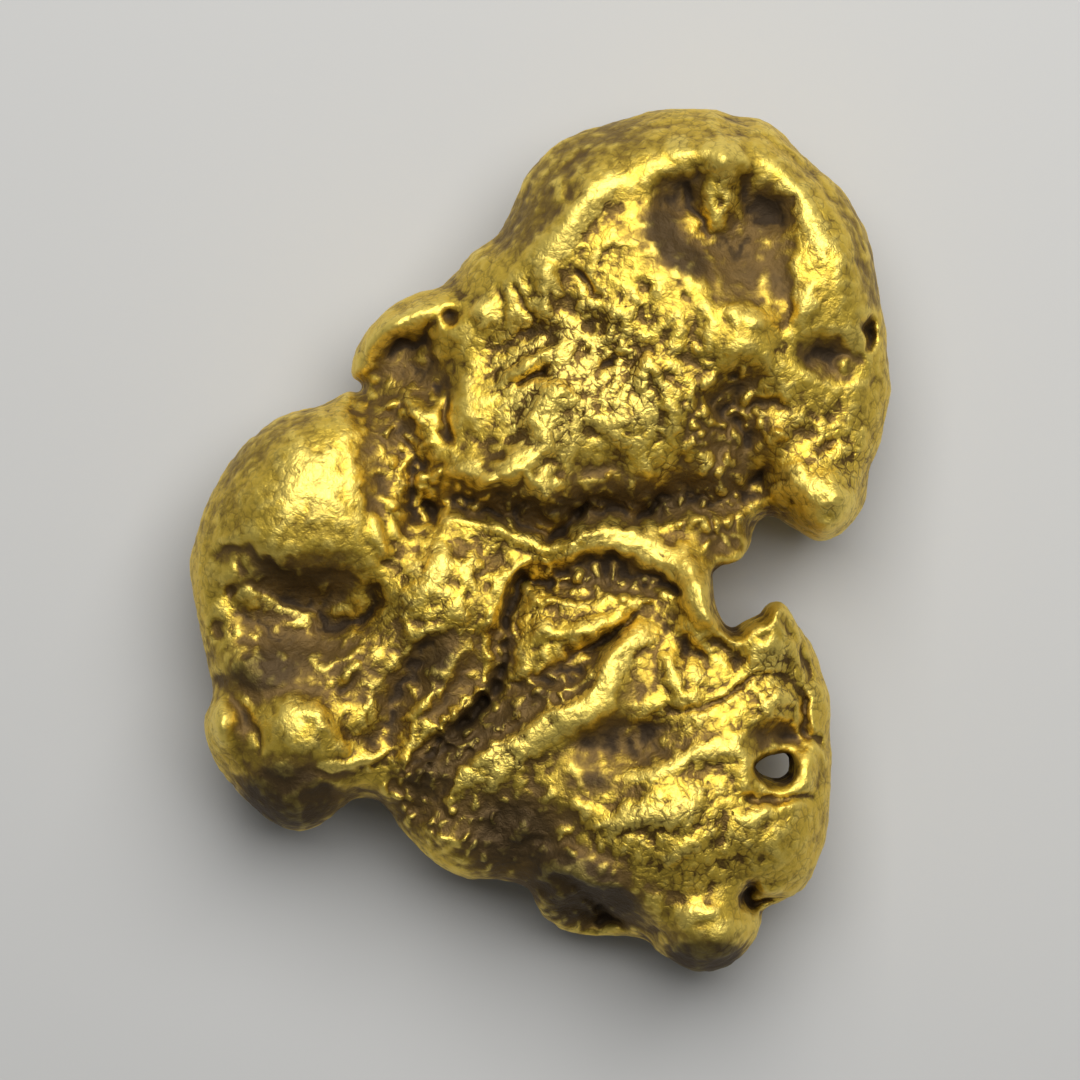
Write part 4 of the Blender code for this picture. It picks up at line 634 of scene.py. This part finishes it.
def rubbing_and_highlights(points):
    """How bright the gold is at each point: worn crests that touch other stones, and painted highlight."""
    rub_and_highlight = Relief(points, 0)
    rub_and_highlight.lump(0.9, 4.9, 4.0, 3.6, 0.85)
    rub_and_highlight.ridge([(-0.3, 8.3), (0.6, 9.0), (1.5, 10.1), (2.6, 11.3)], 1.2, 0.55)
    rub_and_highlight.lump(0.2, 2.6, 1.4, 1.2, 0.5)
    rub_and_highlight.ridge([(0.3, 8.3), (-0.1, 7.0)], 0.8, 0.4)
    rub_and_highlight.lump(4.2, 12.1, 0.5, 0.5, 1.0)
    rub_and_highlight.ridge([(5.6, 12.5), (5.6, 11.6), (5.5, 10.8)], 0.9, 0.8, taper=0.5)
    rub_and_highlight.ridge([(7.6, 11.2), (8.2, 10.0), (8.7, 9.0), (8.9, 8.6)], 0.9, 0.6)
    rub_and_highlight.lump(8.1, 7.4, 0.5, 0.6, 0.9)
    rub_and_highlight.ridge([(5.9, 7.0), (6.8, 6.8)], 0.8, 0.45)
    rub_and_highlight.ridge([(-1.7, 7.7), (-1.7, 6.6)], 0.8, 0.4)
    rub_and_highlight.ridge([(0.8, 6.0), (-0.4, 5.6), (-1.4, 5.1)], 0.8, 0.45)
    rub_and_highlight.ridge([(3.1, 5.7), (3.0, 4.7), (3.4, 3.9), (3.9, 2.8)], 0.8, 0.45)
    rub_and_highlight.lump(-0.2, 3.6, 1.3, 1.6, 0.7)
    rub_and_highlight.ridge([(-3.1, 2.3), (-1.5, 2.0), (0.8, 1.4)], 0.9, 0.5)
    rub_and_highlight.ridge([(-5.7, 5.3), (-4.7, 6.5), (-3.2, 7.4)], 0.7, 0.4)
    rub_and_highlight.lump(-7.0, 1.8, 1.7, 1.6, 1.0)
    rub_and_highlight.lump(-9.95, -5.7, 0.4, 0.9, 0.8)
    rub_and_highlight.lump(-7.4, -5.3, 0.9, 0.6, 0.8)
    rub_and_highlight.ridge([(-7.2, -6.9), (-5.8, -6.9), (-4.7, -6.2)], 0.8, 0.3)
    rub_and_highlight.ridge([(-9.4, -1.5), (-7.8, -2.3), (-6.6, -2.6)], 0.7, 0.25)
    rub_and_highlight.lump(-3.2, -0.8, 1.4, 1.1, 0.8)
    rub_and_highlight.ridge([(0.8, 0.1), (3.0, -0.1), (4.3, -0.9), (5.0, -2.3), (5.8, -2.9)], 1.1, 0.8)
    rub_and_highlight.ridge([(3.3, -2.6), (2.2, -3.9), (0.8, -5.3), (-1.0, -6.5), (-2.4, -7.7)], 1.1, 0.75)
    rub_and_highlight.ridge([(1.6, -8.9), (3.4, -8.4), (5.0, -8.0)], 0.9, 0.6)
    rub_and_highlight.ridge([(2.5, -7.4), (5.5, -6.3), (6.3, -7.2)], 0.7, 0.5)
    rub_and_highlight.lump(7.1, -3.6, 0.9, 1.0, 0.8)
    rub_and_highlight.lump(7.2, -4.9, 0.7, 0.6, 0.8)
    rub_and_highlight.ridge([(4.0, -11.4), (5.5, -11.4)], 0.9, 0.5)
    rub_and_highlight.ridge([(0.0, -10.5), (0.8, -10.1), (1.7, -10.6)], 0.8, 0.3)
    rub_and_highlight.ridge([(6.9, 2.2), (8.3, 1.3), (9.9, 1.2)], 0.8, 0.8)
    rub_and_highlight.ridge([(6.1, -8.7), (7.0, -8.1)], 0.8, 0.5)
    return rub_and_highlight.height


def facets(points, size, stretch, turn, seed):
    """Small tilted plates, longer one way, as crumpled foil breaks into: their height, and how near an edge is."""
    angle = np.radians(turn)
    along = points @ (np.cos(angle), np.sin(angle)) / (size * stretch)
    across = points @ (-np.sin(angle), np.cos(angle)) / size
    heights = []
    edges = []
    for u, v in zip(along, across):
        spot = Vector((u, v, seed))
        distances, centres = noise.voronoi(spot)
        tilt = noise.cell_vector(31 * centres[0])
        offset = spot - centres[0]
        heights.append((2 * tilt.x - 1) * offset.x + (2 * tilt.y - 1) * offset.y + tilt.z - 0.5)
        edges.append(distances[1] - distances[0])
    return np.array(heights), np.array(edges)


def crumbs(points, size, seed, stretch=1, turn=0):
    """Grains pressed against each other: 0 in the seams between them, up to 1 on their tops."""
    angle = np.radians(turn)
    along = points @ (np.cos(angle), np.sin(angle)) / (size * stretch)
    across = points @ (-np.sin(angle), np.cos(angle)) / size
    tops = []
    for u, v in zip(along, across):
        distances, _ = noise.voronoi(Vector((u, v, seed)))
        tops.append(min(1, 1.6 * (distances[1] - distances[0])))
    return np.sqrt(np.array(tops))


broken = brokenness(points)
dirty = 0.55 + 0.45 * np.clip(staining_and_shade(points), 0, 1)
crumpled = wavering(points, 0.3, 0.18)
large_facets, large_edges = facets(crumpled, 0.80, 1.7, 35, 0.5)
small_facets, small_edges = facets(crumpled, 0.36, 1.4, -20, 4.5)
grain = np.array([noise.fractal(Vector((1.6 * x, 1.6 * y, 6)), 0.9, 2.1, 4) for x, y in crumpled])
veins = np.array([noise.fractal(Vector((0.8 * x, 0.8 * y, 26)), 1.0, 2.0, 4) for x, y in crumpled])
patches = np.array([noise.fractal(Vector((0.9 * x, 0.9 * y, 16)), 1.0, 2.0, 2) for x, y in crumpled])
skin = broken * (0.075 * large_facets + 0.02 * small_facets - 0.04 * np.clip(1 - 6 * large_edges, 0, 1))
skin -= broken * 0.045 * np.clip(1 - np.abs(veins) / 0.06, 0, 1)
leafy = np.clip(1 - 1.2 * staining_and_shade(points), 0, 1)
flowing = wavering(points, 0.9, 0.1)
skin += broken * leafy * 0.07 * crumbs(flowing, 0.34, 12.5, 2.6, 55)
skin += broken * (1 - leafy) * 0.09 * crumbs(crumpled, 0.38, 2.5) * np.clip(0.6 + 1.4 * patches, 0, 1)
skin += broken * dirty * 0.035 * crumbs(crumpled, 0.22, 7.5)
skin += (0.028 + 0.035 * broken) * grain

# ---------------------------------------------------------------------------------------------------------
# The two sides are joined at the rim, made one even skin that wears smooth along its walls, and the low
# spots are ground flat at the ground.

VOXEL = 0.066
TRIANGLES = 190000
CRUMPLE = 0.07
WALL_LEAN = 1.2
WALL_DEPTH = 0.9
MM = 0.001

swell = np.minimum(rounded(from_outline / rounding), rounded(from_pinhole / PINHOLE_ROUNDING))
keel = np.minimum(rounded(from_outline / (BELLY_ROUNDING * rounding)), rounded(from_pinhole / PINHOLE_ROUNDING))
inland = np.clip(np.minimum(from_outline, from_pinhole) / LEDGE_FADE, 0, 1)
upper = rim.height + swell * top.height + inland * (ledges.height + skin)
lower = rim.height - keel * (rim.height - belly.height)
hidden = sheet.verts.layers.float.new("lower")
for vert, up, down in zip(sheet.verts, upper, lower):
    vert.co.z = up
    vert[hidden] = down
copy = bmesh.ops.duplicate(sheet, geom=sheet.verts[:] + sheet.edges[:] + sheet.faces[:])["geom"]
for piece in copy:
    if isinstance(piece, bmesh.types.BMVert):
        piece.co.z = piece[hidden]
bmesh.ops.reverse_faces(sheet, faces=[piece for piece in copy if isinstance(piece, bmesh.types.BMFace)])
bmesh.ops.remove_doubles(sheet, verts=sheet.verts, dist=SHEET_PITCH / 100)
mesh = bpy.data.meshes.new("nugget_skin")
sheet.to_mesh(mesh)
sheet.free()
nugget = bpy.data.objects.new("nugget_skin", mesh)
bpy.context.collection.objects.link(nugget)


def apply_modifiers(piece):
    """Make the modifiers' result the object's own mesh."""
    made = bpy.data.meshes.new_from_object(piece.evaluated_get(bpy.context.evaluated_depsgraph_get()))
    piece.modifiers.clear()
    piece.data = made


even = nugget.modifiers.new("even", "REMESH")
even.mode = "VOXEL"
even.voxel_size = VOXEL
apply_modifiers(nugget)
walls = nugget.vertex_groups.new(name="walls")
depth, _, _ = measure(np.array([vert.co.xy for vert in nugget.data.vertices]), outline, closed=True)
for number, (normal, inward) in enumerate(zip(nugget.data.vertex_normals, np.abs(depth))):
    share = max(0, 1 - WALL_LEAN * abs(normal.vector.z)) * max(0, 1 - inward / WALL_DEPTH)
    walls.add([number], share, "REPLACE")
worn = nugget.modifiers.new("worn", "SMOOTH")
worn.factor = 0.5
worn.iterations = 24
worn.vertex_group = walls.name
apply_modifiers(nugget)
normals = [normal.vector.copy() for normal in nugget.data.vertex_normals]
for vert, normal in zip(nugget.data.vertices, normals):
    lumps = CRUMPLE * noise.fractal(0.8 * vert.co, 1.0, 2.0, 3)
    grains = 0.012 * noise.fractal(4.0 * vert.co, 0.8, 2.1, 3)
    vert.co += (lumps + grains) * normal
fewer = nugget.modifiers.new("fewer", "DECIMATE")
fewer.ratio = min(1, TRIANGLES / (2 * len(nugget.data.polygons)))
apply_modifiers(nugget)

form = bmesh.new()
form.from_mesh(nugget.data)
everything = form.verts[:] + form.edges[:] + form.faces[:]
cut = bmesh.ops.bisect_plane(form, geom=everything, dist=1e-5, plane_co=(0, 0, 0), plane_no=(0, 0, -1),
                             clear_outer=True)["geom_cut"]
bmesh.ops.edgeloop_fill(form, edges=[piece for piece in cut if isinstance(piece, bmesh.types.BMEdge)])
bmesh.ops.triangulate(form, faces=form.faces)
form.to_mesh(nugget.data)
form.free()

# ---------------------------------------------------------------------------------------------------------
# What the hollows keep. Each point knows how far it lies below its surroundings, near and wide, which is
# where dirt stays, polish doesn't reach and shade falls; the gold there is darkened with dirt and painted shade.

mesh = nugget.data
places = np.empty(3 * len(mesh.vertices))
mesh.vertices.foreach_get("co", places)
places = places.reshape(-1, 3)
normals = np.empty(3 * len(mesh.vertices))
mesh.vertex_normals.foreach_get("vector", normals)
normals = normals.reshape(-1, 3)
ends = np.empty(2 * len(mesh.edges), int)
mesh.edges.foreach_get("vertices", ends)
first, second = ends.reshape(-1, 2).T
neighbours = np.bincount(ends, minlength=len(places))
smoothed = places.copy()
depths = {}
for step in range(1, 61):
    total = np.empty_like(smoothed)
    for axis in range(3):
        total[:, axis] = np.bincount(first, smoothed[second, axis], len(places))
        total[:, axis] += np.bincount(second, smoothed[first, axis], len(places))
    smoothed += 0.8 * (total / neighbours[:, None] - smoothed)
    if step in (5, 60):
        depths[step] = np.sum((smoothed - places) * normals, axis=1)
crease = mesh.attributes.new("crease", "FLOAT", "POINT")
crease.data.foreach_set("value", np.clip(depths[5] / 0.03, -1, 1))
hollow = mesh.attributes.new("hollow", "FLOAT", "POINT")
hollow.data.foreach_set("value", np.clip(depths[60] / 0.25, -1, 1))

for name, values in (("stained_and_shaded", staining_and_shade(places[:, :2])), ("broken", brokenness(places[:, :2])),
                     ("rubbed_and_highlit", rubbing_and_highlights(places[:, :2]))):
    # Each share fades on faces that turn downwards, so the painted highlight keeps to the upper faces.
    values *= 0.5 + 0.5 * np.clip(normals[:, 2] + 0.6, 0, 1)
    # Painted shade: steep sides are made browner the steeper they are.
    if name == "stained_and_shaded":
        values += 0.35 * (1 - np.abs(normals[:, 2])) * (1 - brokenness(places[:, :2]))
    layer = mesh.attributes.new(name, "FLOAT", "POINT")
    layer.data.foreach_set("value", np.clip(values, 0, 1.6))

low, high = places.min(0), places.max(0)
middle = Vector(((low[0] + high[0]) / 2, (low[1] + high[1]) / 2, 0))
for vert in mesh.vertices:
    vert.co = (vert.co - middle) * MM
mesh.shade_smooth()
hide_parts("gold_nugget")
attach(nugget, "root")

# ---------------------------------------------------------------------------------------------------------
# The gold. High-carat native gold: bright and smooth where it is worn, and brighter with painted highlight
# where the light's bands fall; satin elsewhere; browner with iron stain and painted shade in the hollows and
# on the steep flanks; and black with grit and painted shade in the seams.


class Socket:
    """A node's output, on which sums and products can be written."""

    def __init__(self, nodes, output):
        self.nodes = nodes
        self.output = output

    def join(self, operation, other, swap=False):
        values = [other, self] if swap else [self, other]
        return self.nodes.make("ShaderNodeMath", {"operation": operation}, dict(enumerate(values)))

    def __add__(self, other):
        return self.join("ADD", other)

    def __sub__(self, other):
        return self.join("SUBTRACT", other)

    def __rsub__(self, other):
        return self.join("SUBTRACT", other, swap=True)

    def __mul__(self, other):
        return self.join("MULTIPLY", other)

    def __pow__(self, other):
        return self.join("POWER", other)

    def clamped(self):
        return self.nodes.make("ShaderNodeClamp", {}, {"Value": self})

    __radd__ = __add__
    __rmul__ = __mul__


class Finish:
    """A material, made node by node."""

    def __init__(self, name):
        self.material = bpy.data.materials.new(name)
        self.material.use_nodes = True
        self.tree = self.material.node_tree
        self.surface = self.tree.nodes["Principled BSDF"]

    def make(self, kind, settings, inputs, output=0):
        """Add a node with its settings, values and links, and give one of its outputs."""
        node = self.tree.nodes.new(kind)
        for name, value in settings.items():
            setattr(node, name, value)
        for name, value in inputs.items():
            self.feed(node.inputs[name], value)
        return Socket(self, node.outputs[output])

    def feed(self, socket, value):
        if isinstance(value, Socket):
            self.tree.links.new(value.output, socket)
        else:
            socket.default_value = value

    def mix(self, share, low, high):
        """A colour between two, by share."""
        return self.make("ShaderNodeMix", {"data_type": "RGBA"}, {0: share, 6: low, 7: high}, output=2)

    def between(self, value, low, high):
        """0 where the value is low, 1 where it is high, and smooth between."""
        return self.make("ShaderNodeMapRange", {"interpolation_type": "SMOOTHSTEP"},
                         {"Value": value, "From Min": low, "From Max": high})


gold = Finish("native_gold")
where = gold.make("ShaderNodeTexCoord", {}, {}, output="Object")


def kept(name):
    """One of the skin's own attributes."""
    return gold.make("ShaderNodeAttribute", {"attribute_name": name}, {}, output="Fac")


def cloud(scale, detail, roughness=0.6):
    """Noise, in features per metre."""
    return gold.make("ShaderNodeTexNoise", {}, {"Vector": where, "Scale": scale, "Detail": detail,
                                                 "Roughness": roughness})


crease_depth, hollow_depth, stain_and_shade_share, broken_share = map(kept, ("crease", "hollow", "stained_and_shaded", "broken"))
rub_and_highlight_share = kept("rubbed_and_highlit")
mottle = cloud(650, 4)
blotch = cloud(1800, 4)
speckle = cloud(4500, 4, 0.65)
pull = gold.make("ShaderNodeTexNoise", {}, {"Vector": where, "Scale": 2500, "Detail": 2}, output="Color")
pulled = gold.make("ShaderNodeVectorMath", {"operation": "MULTIPLY_ADD"},
                   {0: pull, 1: (0.0003, 0.0003, 0.0003), 2: where})
grain_seams = gold.make("ShaderNodeTexVoronoi", {"feature": "DISTANCE_TO_EDGE"}, {"Vector": pulled, "Scale": 3100})
grain_tops = gold.between(grain_seams, 0.0, 0.35)
fine_seams = gold.make("ShaderNodeTexVoronoi", {"feature": "DISTANCE_TO_EDGE"}, {"Vector": pulled, "Scale": 8500})
fine_tops = gold.between(fine_seams, 0.0, 0.4)
GOLD_RUBBED_HIGHLIGHT = (0.97, 0.76, 0.18, 1)
GOLD_BRIGHT = (0.84, 0.60, 0.085, 1)
GOLD_DEEP = (0.52, 0.355, 0.05, 1)
SEAM_AND_SHADE_BROWN = (0.16, 0.095, 0.025, 1)
TARNISH_AND_SHADE = (0.36, 0.237, 0.043, 1)
IRON_STAIN_AND_SHADE = (0.095, 0.050, 0.016, 1)
GRIT_AND_SHADE = (0.045, 0.027, 0.011, 1)
# Deeper gold at random, and a little deeper in the creases as painted shade.
dullness_and_shade = 0.6 * mottle + 0.4 * blotch + 0.15 * crease_depth + 0.2 * stain_and_shade_share
metal = gold.mix(gold.between(dullness_and_shade, 0.42, 0.75), GOLD_BRIGHT, GOLD_DEEP)
# Painted highlight: a brighter gold laid on the worn crests and where the light's bright bands fall.
rub_and_highlight_mask = gold.between(rub_and_highlight_share + 0.9 * blotch - 0.6 * crease_depth, 0.55, 1.25)
metal = gold.mix(0.85 * rub_and_highlight_mask, metal, GOLD_RUBBED_HIGHLIGHT)
lowness = 0.75 * crease_depth + 0.25 * hollow_depth
# Tarnish, iron stain and painted shade: browner and darker the lower a point lies in its creases and hollows.
tarnish_and_shade_mask = gold.between(stain_and_shade_share + 0.5 * lowness + 0.6 * blotch + 0.4 * mottle, 0.55, 1.25)
stain_and_shade_mask = gold.between(stain_and_shade_share + 0.7 * lowness + 0.9 * blotch + 0.6 * mottle, 1.10, 2.0)
# Grit and painted shade: the deepest hollows go near black.
grit_and_shade_mask = gold.between(0.5 * crease_depth + 0.8 * hollow_depth + 0.8 * blotch, 1.05, 1.7)
seam_dirt = (0.35 + 0.65 * broken_share) * gold.between(blotch + 0.3 * stain_and_shade_mask + 0.15 * lowness, 0.28, 0.55)
seam_mask = seam_dirt * (1 - gold.between(grain_seams, 0.02, 0.14))
fine_mask = seam_dirt * (1 - gold.between(fine_seams, 0.02, 0.18))
fleck_mask = gold.between(cloud(2600, 3), 0.56, 0.68)
# Dirt and painted shade: the creases and hollows are browned.
fold_dirt_and_shade_mask = gold.between(0.75 * crease_depth + 0.35 * hollow_depth + 0.2 * blotch, 0.30, 0.85)
coloured = gold.mix(0.8 * tarnish_and_shade_mask * (1 - rub_and_highlight_mask), metal, TARNISH_AND_SHADE)
coloured = gold.mix(0.85 * stain_and_shade_mask * (1 - 0.6 * rub_and_highlight_mask), coloured, IRON_STAIN_AND_SHADE)
coloured = gold.mix((0.8 * seam_mask + 0.22 * fine_mask + 0.3 * fleck_mask + 0.8 * fold_dirt_and_shade_mask).clamped(), coloured, SEAM_AND_SHADE_BROWN)
# Near black where the brown share is heaviest: partly grit, partly painted shade.
coloured = gold.mix(0.7 * gold.between(stain_and_shade_share + 0.5 * blotch, 1.25, 1.8), coloured, GRIT_AND_SHADE)
coloured = gold.mix(grit_and_shade_mask, coloured, GRIT_AND_SHADE)
gold.feed(gold.surface.inputs["Base Color"], coloured)
gold.feed(gold.surface.inputs["Metallic"], 1 - 0.35 * stain_and_shade_mask)
gold.feed(gold.surface.inputs["Roughness"], 0.48 + 0.12 * blotch + 0.12 * (stain_and_shade_mask + grit_and_shade_mask))
relief = (0.45 + 0.55 * broken_share) * (0.35 * grain_tops + 0.15 * fine_tops) + 0.65 * speckle
pits = gold.make("ShaderNodeBump", {}, {"Height": relief, "Strength": 0.8, "Distance": 0.00006})
gold.feed(gold.surface.inputs["Normal"], pits)
mesh.materials.clear()
mesh.materials.append(gold.material)

# ---------------------------------------------------------------------------------------------------------
# The floor, the lights and the camera. A pale sheet of paper under soft light from the nugget's far end,
# seen from straight above.

bpy.ops.mesh.primitive_plane_add(size=2)
floor = bpy.context.object
floor.name = "floor"
paper = Finish("paper")
paper.feed(paper.surface.inputs["Base Color"], (0.48, 0.475, 0.46, 1))
paper.feed(paper.surface.inputs["Roughness"], 0.8)
floor.data.materials.append(paper.material)


def soft_light(name, place, width, height, watts):
    """A soft box aimed at the nugget."""
    lamp = bpy.data.lights.new(name, "AREA")
    lamp.shape = "RECTANGLE"
    lamp.size, lamp.size_y = width, height
    lamp.energy = watts
    light = bpy.data.objects.new(name, lamp)
    light.location = place
    light.rotation_euler = (Vector((0, 0, 0.004)) - light.location).to_track_quat("-Z", "Y").to_euler()
    bpy.context.collection.objects.link(light)


soft_light("key", (0.018, 0.068, 0.138), 0.16, 0.14, 0.37)
world = bpy.data.worlds.new("room")
world.use_nodes = True
world.node_tree.nodes["Background"].inputs["Color"].default_value = (0.9, 0.95, 1, 1)
world.node_tree.nodes["Background"].inputs["Strength"].default_value = 0.12
bpy.context.scene.world = world
bpy.context.scene.view_settings.view_transform = "Standard"

FRAME_WIDTH = 0.03375
lens = bpy.data.cameras.new("camera")
lens.lens = 200
lens.clip_start = 0.01
camera = bpy.data.objects.new("camera", lens)
camera.location = (0, 0, RIM_HEIGHT * MM + FRAME_WIDTH * lens.lens / lens.sensor_width)
bpy.context.collection.objects.link(camera)
bpy.context.scene.camera = camera
